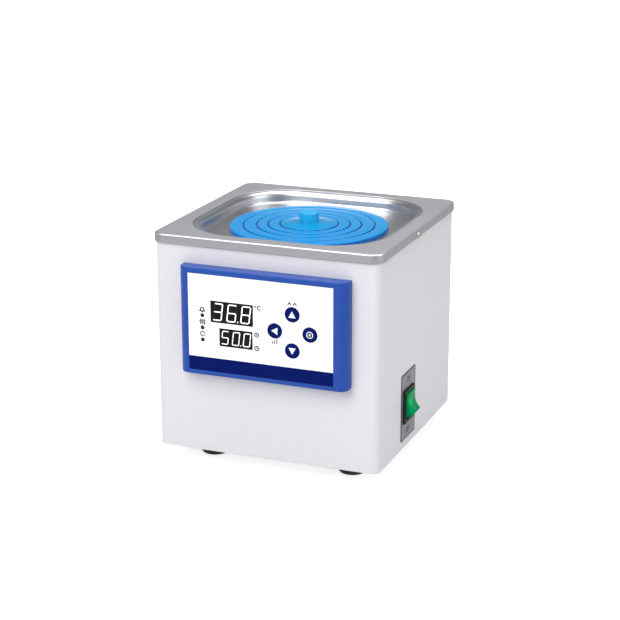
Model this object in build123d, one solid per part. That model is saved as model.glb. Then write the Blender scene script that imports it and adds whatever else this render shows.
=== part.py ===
from build123d import *
import math
import os

# Water bath with one round hole. Millimetres, +Z up, the floor at Z = 0, the front at -Y.

# Casing
casing_width = 206.2
casing_depth = 206.2
casing_height = 192.2
casing_gauge = 1.2
casing_corner = 8.0
stand_height = 16.0
top_return = 4.4
bottom_return = 14.0
rear_return = 15.0
rear_screw_edge = 3.4
sheet_gap = 0.3

# Cover
cover_overhang = 1.9
cover_gauge = 1.2
cover_skirt = 8.0
cover_corner = 11.0
cover_edge_radius = 1.1
rim_width = 14.0
recess_corner = 54.0
cover_screw_height = 2.3
cover_screw_back = 8.8
cover_screw_length = 6.0

# Recessed deck
deck_gauge = 1.0
deck_drop = 10.9
deck_sink = 0.4
deck_flange = 7.5
deck_shoulder = 5.2
deck_lip = 0.1
deck_foot_radius = 2.2
deck_draft = 5.0
deck_land = 22.58
hole_edge_radius = 1.0
collar_height = 4.0

# Tank
tank_wall = 1.0
tank_margin = 6.5
tank_flange = 5.0
tank_corner = 28.0
tank_floor_radius = 9.0
service_room = 59.1
bushing_wall = 2.0
probe_wall = 1.8
bushing_head = 3.5
bushing_sleeve = 7.0
bushing_nut = 5.0

# Reducing rings and the centre lid
ring_overlap = 8.8
ring_shares = (0.17, 0.17, 0.142, 0.151)
ring_rim = 3.3
ring_plate = 2.4
ring_rise = 0.25
ring_ledge = 4.0
ring_ledge_thickness = 2.0
ring_collar = 1.6
ring_collar_drop = 2.6
ring_play = 0.8
ring_edge_radius = 0.9
hole_play = 0.8
lid_crown = 1.9
lid_boss = 9.3
lid_swell = 0.6
lid_edge = 0.6
knob_radius = 8.9
knob_height = 8.7
knob_edge_radius = 1.0
knob_bore_depth = 6.1
knob_screw_grip = 4.4

# Shelf, heater and probe
shelf_play = 3.5
shelf_gauge = 1.2
shelf_rim = 5.0
shelf_height = 30.0
shelf_hole_radius = 4.5
shelf_row_shares = (0.36, 0.72)
shelf_leg_radius = 3.0
shelf_leg_inset = 8.0
heater_radius = 4.0
heater_height = 19.5
heater_pitch = 28.0
heater_front_gap = 10.1
heater_rear_gap = 20.1
heater_tail = 11.0
heater_pin_radius = 1.5
heater_pin_length = 4.0
probe_radius = 3.0
probe_height = 38.0
probe_reach = 17.0
probe_tail = 10.0
gland_hex = 17.0
probe_hex = 13.0
fit_play = 0.05
hole_clearance = 0.2

# Insulation
insulation_thickness = 7.5
soft_gap = 0.35
nut_room = 1.3

# Control panel
panel_width = 154.0
panel_height = 94.9
panel_proud = 12.5
panel_offset = 2.0
panel_drop = 22.5
panel_side_radius = 8.0
panel_edge_radius = 0.8
panel_wall = 2.4
panel_front_wall = 2.8
panel_step = 3.0
panel_screw_side = 7.5
panel_screw_end = 12.0
panel_screw_grip = 6.0
rib_gauge = 1.4
rib_depth = 5.0
rib_inset = 5.0
rib_end = 12.0
pilot_room = 1.0
border_left = 9.6
border_right = 12.0
border_top = 4.9
border_bottom = 4.1
overlay_thickness = 0.7
overlay_sink = 0.1
overlay_corner = 0.3
overlay_play = 0.2
window_play = 0.15
display_sink = 0.3

# Places on the panel, from the panel's centre
pv_size = (39.1, 19.0)
pv_place = (-27.0, 10.5)
sv_size = (30.5, 15.8)
sv_place = (-23.3, -11.7)
lamp_radius = 1.6
lamp_place = -54.3
lamp_pitch = 10.9
lamp_lift = -4.7
lamp_proud = 0.2
key_centre = (28.4, -0.2)
key_reach = 15.9
key_radius = 6.5
key_thickness = 1.3
key_proud = 0.4
key_play = 0.3
key_stem_radius = 2.4
key_travel = 0.4
key_guide_wall = 1.4
key_guide_length = 2.2
key_edge_radius = 0.3

# Control board
board_gauge = 1.6
board_side_gap = 16.0
board_end_gap = 8.45
board_step = 0.9
board_play = 2.0
board_screw_grip = 5.0
board_boss_radius = 3.6
board_screw_inset = 5.5
tact_size = 6.0
tact_height = 3.3
tact_corner = 0.6
tact_button_radius = 1.7
tact_button_height = 0.6
tact_button_gap = 0.6
connector_inset = 10.0
screw_radius = 1.5
screw_head_radius = 2.8
screw_head_height = 1.6
screw_slot = 0.6
nut_flats = 7.0
nut_thickness = 3.2
sheet_screw_length = 5.0
rear_screw_low = 16.0
rear_screw_high = 22.0
base_screw_shift = 6.0

# Switch
switch_centre_y = -25.6
switch_centre_height = 38.3
plate_width = 37.4
plate_height = 61.4
plate_offset = 0.9
plate_gauge = 0.5
plate_corner = 1.0
frame_width = 26.6
frame_height = 31.0
frame_proud = 2.0
frame_corner = 1.0
frame_chamfer = 0.6
body_width = 23.6
body_height = 28.4
body_depth = 21.0
body_floor = 3.5
rocker_width = 20.4
rocker_half_length = 9.2
rocker_tip = 11.2
rocker_hollow = 2.6
rocker_shoulder = 4.4
rocker_shoulder_half = 11.1
rocker_waist = 2.8
rocker_barrel = 8.0
rocker_angle = 15.0
rocker_play = 0.4
rocker_side_play = 0.2
pivot_depth = 6.7
pivot_radius = 1.5
pivot_length = 1.1
pivot_play = 0.08
blade_width = 6.3
blade_gauge = 0.8
blade_length = 9.0
blade_column = 12.0
blade_row = 16.0

# Rear fittings
gland_inset = 41.1
fitting_pitch = 34.0
fitting_height = 22.0
gland_bore = 3.8
gland_sleeve = 6.0
gland_dome = 8.0
gland_dome_length = 8.8
gland_dome_edge = 2.5
gland_collar = 4.0
gland_wrench = 18.0
gland_inside = 9.0
gland_nut_thickness = 4.0
fuse_body_radius = 6.0
fuse_body_depth = 20.0
fuse_flange_radius = 8.0
fuse_flange = 2.2
fuse_cap_radius = 6.2
fuse_cap_length = 7.8
fuse_plug_radius = 3.2
fuse_plug_length = 14.0
fuse_play = 0.3
fuse_chamfer = 0.6
fuse_slot_length = 9.3
fuse_slot_width = 1.4
fuse_slot_depth = 1.8

# Feet and lower parts
foot_radius = 12.0
foot_top_radius = 11.0
foot_edge_radius = 1.0
foot_bore = 5.0
foot_seat = 6.0
foot_side_inset = 37.1
foot_end_inset = 39.1
foot_screw_radius = 2.0
foot_screw_head = 4.0
foot_screw_head_height = 2.6
foot_screw_spare = 5.0
vent_length = 42.0
vent_width = 3.2
vent_pitch = 9.0
vent_rows = 6
power_board_width = 104.0
power_board_depth = 72.0
power_board_x = -20.0
power_board_y = -6.0
power_board_inset = 5.0
spacer_height = 9.0
spacer_radius = 3.0
transformer_x = -28.0
core_size = (38.0, 16.0, 32.0)
bobbin_size = (22.0, 34.0, 24.0)
bobbin_lift = 4.0
bobbin_corner = 4.0
relay_place = (12.0, 14.0)
relay_size = (26.0, 20.0, 16.0)
fin_count = 5
fin_gauge = 1.6
fin_pitch = 5.2
fin_height = 10.0
terminal_place = (30.0, -22.0)
terminal_size = (36.0, 12.0, 14.0)
terminal_ways = 5
terminal_pitch = 7.0
terminal_bore = 2.2
terminal_bore_depth = 5.0
earth_shift = (6.0, 8.0)
earth_length = 14.0
earth_collar_radius = 4.0
earth_collar = 1.2

# Worked out
casing_bottom = stand_height
casing_top = casing_bottom + casing_height
cover_width = casing_width + 2 * cover_overhang
cover_depth = casing_depth + 2 * cover_overhang
cover_top = casing_top + cover_gauge
cover_lower = cover_top - cover_skirt
recess_width = cover_width - 2 * rim_width
recess_depth = cover_depth - 2 * rim_width
deck_floor = cover_top - deck_drop
deck_under = deck_floor - deck_gauge
deck_top = cover_top - deck_sink
well_width = recess_width - 2 * sheet_gap - 2 * deck_shoulder
well_depth = recess_depth - 2 * sheet_gap - 2 * deck_shoulder
well_corner = recess_corner - sheet_gap - deck_shoulder
draft_run = (deck_top - deck_floor) * math.tan(math.radians(deck_draft))
tank_width = well_width - 2 * draft_run - 2 * tank_margin
tank_length = well_depth - 2 * draft_run - 2 * tank_margin
base_top = casing_bottom + 2 * casing_gauge
tank_floor = base_top + service_room
tank_rear = tank_length / 2
heater_front = tank_length / 2 - heater_front_gap - heater_radius - heater_pitch / 2
heater_rear = tank_length / 2 - heater_rear_gap - heater_radius - heater_pitch / 2
heater_z = tank_floor + heater_height
probe_z = tank_floor + probe_height
shelf_z = tank_floor + shelf_height
hole_radius = min(well_width, well_depth) / 2 - draft_run - deck_land
ring_radius = hole_radius + ring_overlap
ring_top = deck_floor + ring_rim
front_face = -casing_depth / 2
side_face = casing_width / 2
rear_face = casing_depth / 2
rear_skin = rear_face - casing_gauge
panel_x = panel_offset
panel_z = casing_top - panel_drop - panel_height / 2
panel_front = front_face - panel_proud
overlay_front = panel_front + overlay_sink
overlay_back = overlay_front + overlay_thickness
panel_inner = panel_front + panel_front_wall
board_front = front_face - board_step
board_back = board_front + board_gauge
switch_z = casing_bottom + switch_centre_height
plate_face = side_face + plate_gauge
frame_face = plate_face + frame_proud
pivot_x = frame_face - pivot_depth
fitting_z = casing_bottom + fitting_height
cover_screw_z = cover_lower + cover_screw_height
overlay_width = panel_width - border_left - border_right
overlay_height = panel_height - border_top - border_bottom
board_x = panel_x + (border_left - border_right) / 2
board_z = panel_z + (border_bottom - border_top) / 2
board_width = panel_width - 2 * board_side_gap
board_height = panel_height - 2 * board_end_gap
gland_x = side_face - gland_inset
fuse_x = gland_x - fitting_pitch
foot_x = side_face - foot_side_inset
foot_y = rear_face - foot_end_inset

# The frame's origin stands midway between the left cover screw and the rocker's nose.
rocker_swing = math.radians(rocker_angle)
nose_x = pivot_x + rocker_tip * math.cos(rocker_swing) + rocker_half_length * math.sin(rocker_swing)
frame_x = round((nose_x - cover_width / 2 - screw_head_height) / 2, 2)


def along_x(outline, start, end):
    """Extrude an outline drawn in Y and Z from one X to another."""
    return extrude(Plane.YZ.offset(start) * outline, end - start)


def along_y(outline, start, end):
    """Extrude an outline drawn in X and Z from one Y to another."""
    return extrude(Plane.XZ.offset(-start) * outline, start - end)


def along_z(outline, start, end):
    """Extrude an outline drawn in X and Y from one Z to another."""
    return extrude(Plane.XY.offset(start) * outline, end - start)


def turned(outline):
    """Turn an outline of radius and height round the upright axis."""
    return revolve(Plane.XZ * outline, Axis.Z)


def screw(length, radius=screw_radius, head_radius=screw_head_radius, head_height=screw_head_height):
    """A pan-head screw with its seat at the origin and its head towards +Z."""
    head = fillet(Cylinder(head_radius, head_height).edges().group_by(Axis.Z)[-1], head_height / 2)
    head = Pos(0, 0, head_height / 2) * head
    slot = Pos(0, 0, head_height) * Box(2 * head_radius, screw_slot, head_height)
    return head - slot + Pos(0, 0, -length / 2) * Cylinder(radius, length)


def across_corners(flats):
    return flats / math.cos(math.radians(30))


def hex_nut(flats, thickness, bore):
    """A hexagonal nut that stands on the XY plane."""
    return extrude(RegularPolygon(flats / 2, 6, major_radius=False) - Circle(bore), thickness)


to_right = Rot(0, 90, 0)
to_left = Rot(0, -90, 0)
to_rear = Rot(-90, 0, 0)
to_below = Rot(180, 0, 0)


def save(shape, name):
    """Write one piece in the shared frame."""
    export_step(Pos(-frame_x, 0, 0) * shape, f"parts/{name}.step")


def rear_screw_places():
    x = side_face - rear_return + rear_screw_edge
    middle = (casing_bottom + casing_top) / 2
    heights = (casing_bottom + rear_screw_low, middle, casing_top - rear_screw_high)
    return [(side * x, z) for side in (-1, 1) for z in heights]


def base_screw_places():
    x = side_face - bottom_return / 2
    y = casing_depth / 2 - bottom_return / 2
    rear = y - base_screw_shift
    return [(-x, -y), (x, -y), (-x, rear), (x, rear), (-x, 0), (x, 0)]


def foot_places():
    return {
        "front_left": (-foot_x, -foot_y),
        "front_right": (foot_x, -foot_y),
        "rear_left": (-foot_x, foot_y),
        "rear_right": (foot_x, foot_y),
    }


def panel_screw_places():
    x = panel_width / 2 - panel_screw_side
    z = panel_height / 2 - panel_screw_end
    return [(panel_x + sx * x, panel_z + sz * z) for sx in (-1, 1) for sz in (-1, 1)]


def board_screw_places():
    x = board_width / 2 - board_screw_inset
    z = board_height / 2 - board_screw_inset
    return [(board_x + sx * x, board_z + sz * z) for sx in (-1, 1) for sz in (-1, 1)]


def key_places():
    x = panel_x + key_centre[0]
    z = panel_z + key_centre[1]
    return {
        "up": (x, z + key_reach),
        "left": (x - key_reach, z),
        "down": (x, z - key_reach),
        "set": (x + key_reach, z),
    }


def lamp_places():
    x = panel_x + lamp_place
    z = panel_z + lamp_lift
    return [(x, z + lamp_pitch), (x, z), (x, z - lamp_pitch)]


def casing():
    """Front and both sides in one folded sheet with returns at the rear, the top and the bottom."""
    outer = RectangleRounded(casing_width, casing_depth, casing_corner)
    inner_width = casing_width - 2 * casing_gauge
    inner_depth = casing_depth - 2 * casing_gauge
    inner = RectangleRounded(inner_width, inner_depth, casing_corner - casing_gauge)
    shell = along_z(outer, casing_bottom, casing_top)
    shell -= along_z(inner, casing_bottom + casing_gauge, casing_top - casing_gauge)
    top_hole = Rectangle(casing_width - 2 * top_return, casing_depth - 2 * top_return)
    shell -= along_z(top_hole, casing_top - casing_gauge, casing_top)
    bottom_hole = Rectangle(casing_width - 2 * bottom_return, casing_depth - 2 * bottom_return)
    shell -= along_z(bottom_hole, casing_bottom, casing_bottom + casing_gauge)
    rear_hole = Rectangle(casing_width - 2 * rear_return, casing_height)
    shell -= along_y(Pos(0, (casing_bottom + casing_top) / 2) * rear_hole, rear_skin, rear_face)
    opening = Rectangle(board_width + 2 * board_play, board_height + 2 * board_play)
    shell -= along_y(Pos(board_x, board_z) * opening, front_face, front_face + casing_gauge)
    cutout = Rectangle(body_width + 2 * sheet_gap, body_height + 2 * sheet_gap)
    shell -= along_x(Pos(switch_centre_y, switch_z) * cutout, side_face - casing_gauge, side_face)
    tapped = Circle(screw_radius + fit_play)
    for x, z in panel_screw_places():
        shell -= along_y(Pos(x, z) * tapped, front_face, front_face + casing_gauge)
    for x, z in rear_screw_places():
        shell -= along_y(Pos(x, z) * tapped, rear_skin, rear_face)
    for x, y in base_screw_places():
        shell -= along_z(Pos(x, y) * tapped, casing_bottom, casing_bottom + casing_gauge)
    for side in (-1, 1):
        x = side * (side_face - casing_gauge)
        shell -= along_x(Pos(-cover_screw_back, cover_screw_z) * tapped, x, side * side_face)
    return shell


def rear_panel():
    """A flat panel behind the casing's rear returns."""
    low = casing_bottom + casing_gauge + sheet_gap
    high = casing_top - casing_gauge - sheet_gap
    width = casing_width - 2 * casing_corner - 2 * sheet_gap
    sheet = Pos(0, (low + high) / 2) * Rectangle(width, high - low)
    panel = along_y(sheet, rear_skin - casing_gauge, rear_skin)
    gland_hole = Pos(gland_x, fitting_z) * Circle(gland_sleeve + hole_clearance)
    fuse_hole = Pos(fuse_x, fitting_z) * Circle(fuse_body_radius + hole_clearance)
    panel -= along_y(gland_hole, rear_skin - casing_gauge, rear_skin)
    panel -= along_y(fuse_hole, rear_skin - casing_gauge, rear_skin)
    tapped = Circle(screw_radius + fit_play)
    for x, z in rear_screw_places():
        panel -= along_y(Pos(x, z) * tapped, rear_skin - casing_gauge, rear_skin)
    return panel


def base_plate():
    """The floor of the casing, with two banks of vent slots."""
    front = front_face + casing_gauge + sheet_gap
    rear = rear_skin - casing_gauge - sheet_gap
    width = casing_width - 2 * casing_gauge - 2 * sheet_gap
    sheet = RectangleRounded(width, rear - front, casing_corner - casing_gauge)
    low = base_top - casing_gauge
    plate = along_z(Pos(0, (front + rear) / 2) * sheet, low, base_top)
    slots = GridLocations(2 * vent_length, vent_pitch, 2, vent_rows) * SlotOverall(vent_length, vent_width)
    plate -= along_z(Sketch() + slots, low, base_top)
    for x, y in foot_places().values():
        plate -= along_z(Pos(x, y) * Circle(foot_screw_radius + hole_clearance), low, base_top)
    for x, y in base_screw_places():
        plate -= along_z(Pos(x, y) * Circle(screw_radius + fit_play), low, base_top)
    return plate


def top_cover():
    """Satin cover with a turned-down skirt and a round-cornered opening."""
    shell = along_z(RectangleRounded(cover_width, cover_depth, cover_corner), cover_lower, cover_top)
    shell = fillet(shell.edges().group_by(Axis.Z)[-1], cover_edge_radius)
    inside = RectangleRounded(
        cover_width - 2 * cover_gauge, cover_depth - 2 * cover_gauge, cover_corner - cover_gauge
    )
    shell -= along_z(inside, cover_lower, casing_top)
    shell -= along_z(RectangleRounded(recess_width, recess_depth, recess_corner), casing_top, cover_top)
    for side in (-1, 1):
        start = side * (cover_width / 2 - cover_gauge)
        hole = Pos(-cover_screw_back, cover_screw_z) * Circle(screw_radius + fit_play)
        shell -= along_x(hole, start, side * cover_width / 2)
    return shell


def well_outline(grow):
    """The deck's well at its floor, grown by a wall where that is asked for."""
    return RectangleRounded(
        well_width - 2 * draft_run + 2 * grow,
        well_depth - 2 * draft_run + 2 * grow,
        well_corner - draft_run + grow,
    )


def well_deck():
    """Polished pressed deck: a flange under the cover, a rounded shoulder, a well and a collared hole."""
    flange = RectangleRounded(
        recess_width + 2 * deck_flange, recess_depth + 2 * deck_flange, recess_corner + deck_flange
    )
    plinth = RectangleRounded(
        recess_width - 2 * sheet_gap, recess_depth - 2 * sheet_gap, recess_corner - sheet_gap
    )
    deck = along_z(flange, casing_top - deck_gauge, casing_top)
    deck += along_z(plinth, casing_top - deck_gauge, deck_top)
    wall = extrude(
        Plane.XY.offset(deck_under) * well_outline(deck_gauge), deck_top - deck_under, taper=-deck_draft
    )
    deck += fillet(wall.edges().group_by(Axis.Z)[0], deck_foot_radius + deck_gauge)
    well = extrude(Plane.XY.offset(deck_floor) * well_outline(0), deck_top - deck_floor, taper=-deck_draft)
    deck -= fillet(well.edges().group_by(Axis.Z)[0], deck_foot_radius)
    rim = deck.faces().sort_by(Axis.Z)[-1].inner_wires()[0]
    deck = fillet(rim.edges(), deck_shoulder - deck_lip)
    collar_low = deck_under - collar_height
    deck += along_z(Circle(hole_radius + deck_gauge), collar_low, deck_floor)
    deck -= along_z(Circle(hole_radius), collar_low, deck_floor)
    lip = deck.edges().filter_by_position(Axis.Z, deck_floor, deck_floor)
    return fillet(lip.filter_by(lambda edge: edge.is_closed), hole_edge_radius)


def tank():
    """Drawn water tank, hung from the deck by its flange."""
    flange = RectangleRounded(
        tank_width + 2 * tank_wall + 2 * tank_flange,
        tank_length + 2 * tank_wall + 2 * tank_flange,
        tank_corner + tank_wall + tank_flange,
    )
    outside = RectangleRounded(
        tank_width + 2 * tank_wall, tank_length + 2 * tank_wall, tank_corner + tank_wall
    )
    body = along_z(outside, tank_floor - tank_wall, deck_under)
    body = fillet(body.edges().group_by(Axis.Z)[0], tank_floor_radius + tank_wall)
    body += along_z(flange, deck_under - tank_wall, deck_under)
    cavity = along_z(RectangleRounded(tank_width, tank_length, tank_corner), tank_floor, deck_under)
    body -= fillet(cavity.edges().group_by(Axis.Z)[0], tank_floor_radius)
    for x in heater_ends():
        hole = Pos(x, heater_z) * Circle(heater_radius + bushing_wall + hole_clearance)
        body -= along_y(hole, tank_rear, tank_rear + tank_wall)
    hole = Pos(0, probe_z) * Circle(probe_radius + probe_wall + hole_clearance)
    return body - along_y(hole, tank_rear, tank_rear + tank_wall)


def heater_ends():
    return (-1.5 * heater_pitch, 1.5 * heater_pitch)


def tank_insulation():
    """Blanket round the tank and under it, with clearance for the rear fittings."""
    inner_width = tank_width + 2 * tank_wall + 2 * soft_gap
    inner_length = tank_length + 2 * tank_wall + 2 * soft_gap
    corner = tank_corner + tank_wall + soft_gap
    low = tank_floor - tank_wall - soft_gap
    high = deck_under - tank_wall - soft_gap
    outside = RectangleRounded(
        inner_width + 2 * insulation_thickness,
        inner_length + 2 * insulation_thickness,
        corner + insulation_thickness,
    )
    blanket = along_z(outside, low - insulation_thickness, high)
    blanket -= along_z(RectangleRounded(inner_width, inner_length, corner), low, high)
    front = tank_rear
    rear = inner_length / 2 + insulation_thickness
    for x in heater_ends():
        blanket -= along_y(Pos(x, heater_z) * Circle(across_corners(gland_hex) / 2 + nut_room), front, rear)
    return blanket - along_y(Pos(0, probe_z) * Circle(across_corners(probe_hex) / 2 + nut_room), front, rear)


def heater_element():
    """Tubular heater bent into four runs, with both ends out through the tank's rear wall."""
    out = tank_rear + tank_wall + heater_tail
    half = heater_pitch / 2
    left, right = heater_ends()
    path = Line((left, out), (left, -heater_front))
    path += ThreePointArc((left, -heater_front), (left + half, -heater_front - half), (-half, -heater_front))
    path += Line((-half, -heater_front), (-half, heater_rear))
    path += ThreePointArc((-half, heater_rear), (0, heater_rear + half), (half, heater_rear))
    path += Line((half, heater_rear), (half, -heater_front))
    path += ThreePointArc((half, -heater_front), (right - half, -heater_front - half), (right, -heater_front))
    path += Line((right, -heater_front), (right, out))
    path = Pos(0, 0, heater_z) * path
    start = Plane(origin=(left, out, heater_z), x_dir=(1, 0, 0), z_dir=(0, -1, 0))
    tube = sweep(start * Circle(heater_radius), path)
    for x in heater_ends():
        tube += along_y(Pos(x, heater_z) * Circle(heater_pin_radius), out, out + heater_pin_length)
    return tube


def bushing(x, z, flats, sleeve, bore):
    """A hexagonal bushing through the tank's rear wall and the nut that holds it."""
    outer_wall = tank_rear + tank_wall
    hexagon = RegularPolygon(flats / 2, 6, major_radius=False)
    body = along_y(Pos(x, z) * (hexagon - Circle(bore)), tank_rear - bushing_head, tank_rear)
    body += along_y(Pos(x, z) * (Circle(sleeve) - Circle(bore)), tank_rear, outer_wall + bushing_sleeve)
    nut = along_y(Pos(x, z) * (hexagon - Circle(sleeve + fit_play)), outer_wall, outer_wall + bushing_nut)
    return [body, nut]


def heater_bushings():
    pieces = []
    for x in heater_ends():
        pieces += bushing(x, heater_z, gland_hex, heater_radius + bushing_wall, heater_radius + fit_play)
    return Compound(pieces)


def probe_gland():
    return Compound(bushing(0, probe_z, probe_hex, probe_radius + probe_wall, probe_radius + fit_play))


def temperature_probe():
    """Steel sheath with a round tip inside the tank."""
    tip = tank_rear - probe_reach
    end = tank_rear + tank_wall + probe_tail
    rod = along_y(Pos(0, probe_z) * Circle(probe_radius), tip + probe_radius, end)
    return rod + Pos(0, tip + probe_radius, probe_z) * Sphere(probe_radius)


def shelf():
    """Round perforated shelf on three legs, small enough to lift out through the hole."""
    radius = hole_radius - shelf_play
    outline = Polyline(
        (0, shelf_z),
        (radius, shelf_z),
        (radius, shelf_z - shelf_rim),
        (radius - shelf_gauge, shelf_z - shelf_rim),
        (radius - shelf_gauge, shelf_z - shelf_gauge),
        (0, shelf_z - shelf_gauge),
        close=True,
    )
    disc = turned(make_face(outline))
    holes = Sketch() + Circle(shelf_hole_radius)
    holes += PolarLocations(radius * shelf_row_shares[0], 6) * Circle(shelf_hole_radius)
    holes += PolarLocations(radius * shelf_row_shares[1], 12) * Circle(shelf_hole_radius)
    disc -= along_z(holes, shelf_z - shelf_gauge, shelf_z)
    reach = radius - shelf_leg_inset
    back = math.sqrt(reach ** 2 - heater_pitch ** 2)
    for x, y in ((-heater_pitch, back), (heater_pitch, back), (0, -reach)):
        disc += along_z(Pos(x, y) * Circle(shelf_leg_radius), tank_floor, shelf_z - shelf_gauge)
    return disc


def ring_radii():
    """The outer radius of each ring and of the lid, from the outside in."""
    radii = [ring_radius]
    for share in ring_shares:
        radii.append(radii[-1] - share * ring_radius)
    return radii


def rounded_top(outline):
    """Round the upper corners of a ring's outline."""
    return fillet(outline.vertices().group_by(Axis.Y)[-1], ring_edge_radius)


def ring_outer():
    """The outermost ring: it rests on the deck, and its collar centres it in the hole."""
    seat = ring_radii()[1] + ring_play / 2
    bore = seat - ring_ledge
    ledge = ring_top - ring_plate
    collar = hole_radius - hole_play
    outline = Polyline(
        (bore, ledge),
        (seat, ledge),
        (seat, ring_top),
        (ring_radius, ring_top),
        (ring_radius, deck_floor),
        (collar, deck_floor),
        (collar, deck_floor - collar_height),
        (collar - ring_collar, deck_floor - collar_height),
        (collar - ring_collar, ledge - ring_ledge_thickness),
        (bore, ledge - ring_ledge_thickness),
        close=True,
    )
    return turned(rounded_top(make_face(outline)))


def inner_ring(index):
    """A ring whose flange rests on the ledge of the next larger ring."""
    radii = ring_radii()
    top = ring_top + index * ring_rise
    under = top - ring_rise - ring_plate
    edge = radii[index] - ring_play / 2
    collar = radii[index] + ring_play / 2 - ring_ledge - ring_play
    seat = radii[index + 1] + ring_play / 2
    bore = seat - ring_ledge
    ledge = top - ring_plate
    outline = Polyline(
        (bore, ledge),
        (seat, ledge),
        (seat, top),
        (edge, top),
        (edge, under),
        (collar, under),
        (collar, under - ring_collar_drop),
        (collar - ring_collar, under - ring_collar_drop),
        (collar - ring_collar, under),
        (seat + ring_ledge_thickness, under),
        (seat + ring_ledge_thickness, ledge - ring_ledge_thickness),
        (bore, ledge - ring_ledge_thickness),
        close=True,
    )
    return turned(rounded_top(make_face(outline)))


def centre_lid():
    """The middle disc, slightly crowned, with a flat boss for the knob."""
    index = len(ring_shares)
    radius = ring_radii()[index]
    top = ring_top + index * ring_rise
    under = top - ring_rise - ring_plate
    edge = radius - ring_play / 2
    collar = radius + ring_play / 2 - ring_ledge - ring_play
    bore = screw_radius + fit_play
    high = top + lid_crown
    middle = (lid_boss + edge) / 2
    lines = Line((bore, under), (bore, high))
    lines += Line((bore, high), (lid_boss, high))
    lines += ThreePointArc((lid_boss, high), (middle, top + lid_crown * lid_swell), (edge - lid_edge, top))
    lines += Line((edge - lid_edge, top), (edge, top - lid_edge))
    lines += Polyline(
        (edge, top - lid_edge),
        (edge, under),
        (collar, under),
        (collar, under - ring_collar_drop),
        (collar - ring_collar, under - ring_collar_drop),
        (collar - ring_collar, under),
        (bore, under),
    )
    return turned(make_face(lines))


def lid_knob():
    """Turned knob, screwed on from under the lid."""
    low = ring_top + len(ring_shares) * ring_rise + lid_crown
    knob = along_z(Circle(knob_radius), low, low + knob_height)
    knob = fillet(knob.edges().group_by(Axis.Z)[-1], knob_edge_radius)
    return knob - along_z(Circle(screw_radius + fit_play), low, low + knob_bore_depth)


def knob_screw():
    low = ring_top + (len(ring_shares) - 1) * ring_rise - ring_plate
    return Pos(0, 0, low) * to_below * screw(ring_plate + lid_crown + knob_screw_grip)


def panel_housing():
    """Moulded panel housing: rounded sides, an open back, bosses, key guides and stiffening ribs."""
    block = Rectangle(panel_width, panel_height)
    body = along_y(Pos(panel_x, panel_z) * block, panel_front, front_face)
    front_edges = body.edges().group_by(Axis.Y)[0]
    body = fillet(front_edges.filter_by(Axis.Z), panel_side_radius)
    body = fillet(body.edges().group_by(Axis.Y)[0], panel_edge_radius)
    cavity = RectangleRounded(panel_width - 2 * panel_wall, panel_height - 2 * panel_wall, panel_side_radius)
    body -= along_y(Pos(panel_x, panel_z) * cavity, panel_inner + panel_step, front_face)
    narrow = RectangleRounded(panel_width - 4 * panel_wall, panel_height - 2 * panel_wall, panel_wall)
    body -= along_y(Pos(panel_x, panel_z) * narrow, panel_inner, panel_inner + panel_step)
    for x, z in panel_screw_places():
        boss = Pos(x, z) * Circle(board_boss_radius)
        body += along_y(boss, panel_inner, front_face)
    for x, z in board_screw_places():
        boss = Pos(x, z) * Circle(board_boss_radius)
        body += along_y(boss, panel_inner, board_front)
    for x, z in key_places().values():
        guide = Pos(x, z) * Circle(key_stem_radius + key_play + key_guide_wall)
        body += along_y(guide, panel_inner, panel_inner + key_guide_length)
    for z in (-1, 1):
        rib = Rectangle(panel_width - 2 * rib_end, rib_gauge)
        rib = Pos(panel_x, panel_z + z * (panel_height / 2 - rib_inset)) * rib
        body += along_y(rib, panel_inner, panel_inner + rib_depth)
    tray_width = overlay_width + 2 * overlay_play
    tray_height = overlay_height + 2 * overlay_play
    tray = RectangleRounded(tray_width, tray_height, overlay_corner)
    body -= along_y(Pos(board_x, board_z) * tray, panel_front, overlay_back)
    for (x, z), size in display_places():
        window = Pos(x, z) * Rectangle(size[0] + 2 * window_play, size[1] + 2 * window_play)
        body -= along_y(window, overlay_back, panel_inner)
    for x, z in lamp_places():
        body -= along_y(Pos(x, z) * Circle(lamp_radius + window_play), overlay_back, panel_inner)
    for x, z in key_places().values():
        pocket = Pos(x, z) * Circle(key_radius + key_play)
        body -= along_y(pocket, overlay_back, panel_front - key_proud + key_thickness + 2 * key_travel)
        stem_hole = Pos(x, z) * Circle(key_stem_radius + key_play)
        body -= along_y(stem_hole, overlay_back, panel_inner + key_guide_length)
    pilot = Circle(screw_radius + fit_play)
    for x, z in panel_screw_places():
        body -= along_y(Pos(x, z) * pilot, front_face - panel_screw_grip - pilot_room, front_face)
    for x, z in board_screw_places():
        body -= along_y(Pos(x, z) * pilot, board_front - board_screw_grip - pilot_room, board_front)
    return body


def display_places():
    """Centre and size of the two number displays."""
    return [
        ((panel_x + pv_place[0], panel_z + pv_place[1]), pv_size),
        ((panel_x + sv_place[0], panel_z + sv_place[1]), sv_size),
    ]


def panel_overlay():
    """Printed film with windows, lamp holes and key holes."""
    film = RectangleRounded(overlay_width, overlay_height, overlay_corner)
    sheet = Pos(board_x, board_z) * film
    for (x, z), size in display_places():
        sheet -= Pos(x, z) * Rectangle(size[0] + 2 * window_play, size[1] + 2 * window_play)
    for x, z in lamp_places():
        sheet -= Pos(x, z) * Circle(lamp_radius + window_play)
    for x, z in key_places().values():
        sheet -= Pos(x, z) * Circle(key_radius + key_play)
    return along_y(sheet, overlay_front, overlay_back)


def display(number):
    """A number display that stands on the control board and fills its window."""
    (x, z), size = display_places()[number]
    return along_y(Pos(x, z) * Rectangle(size[0], size[1]), overlay_front + display_sink, board_front)


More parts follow.
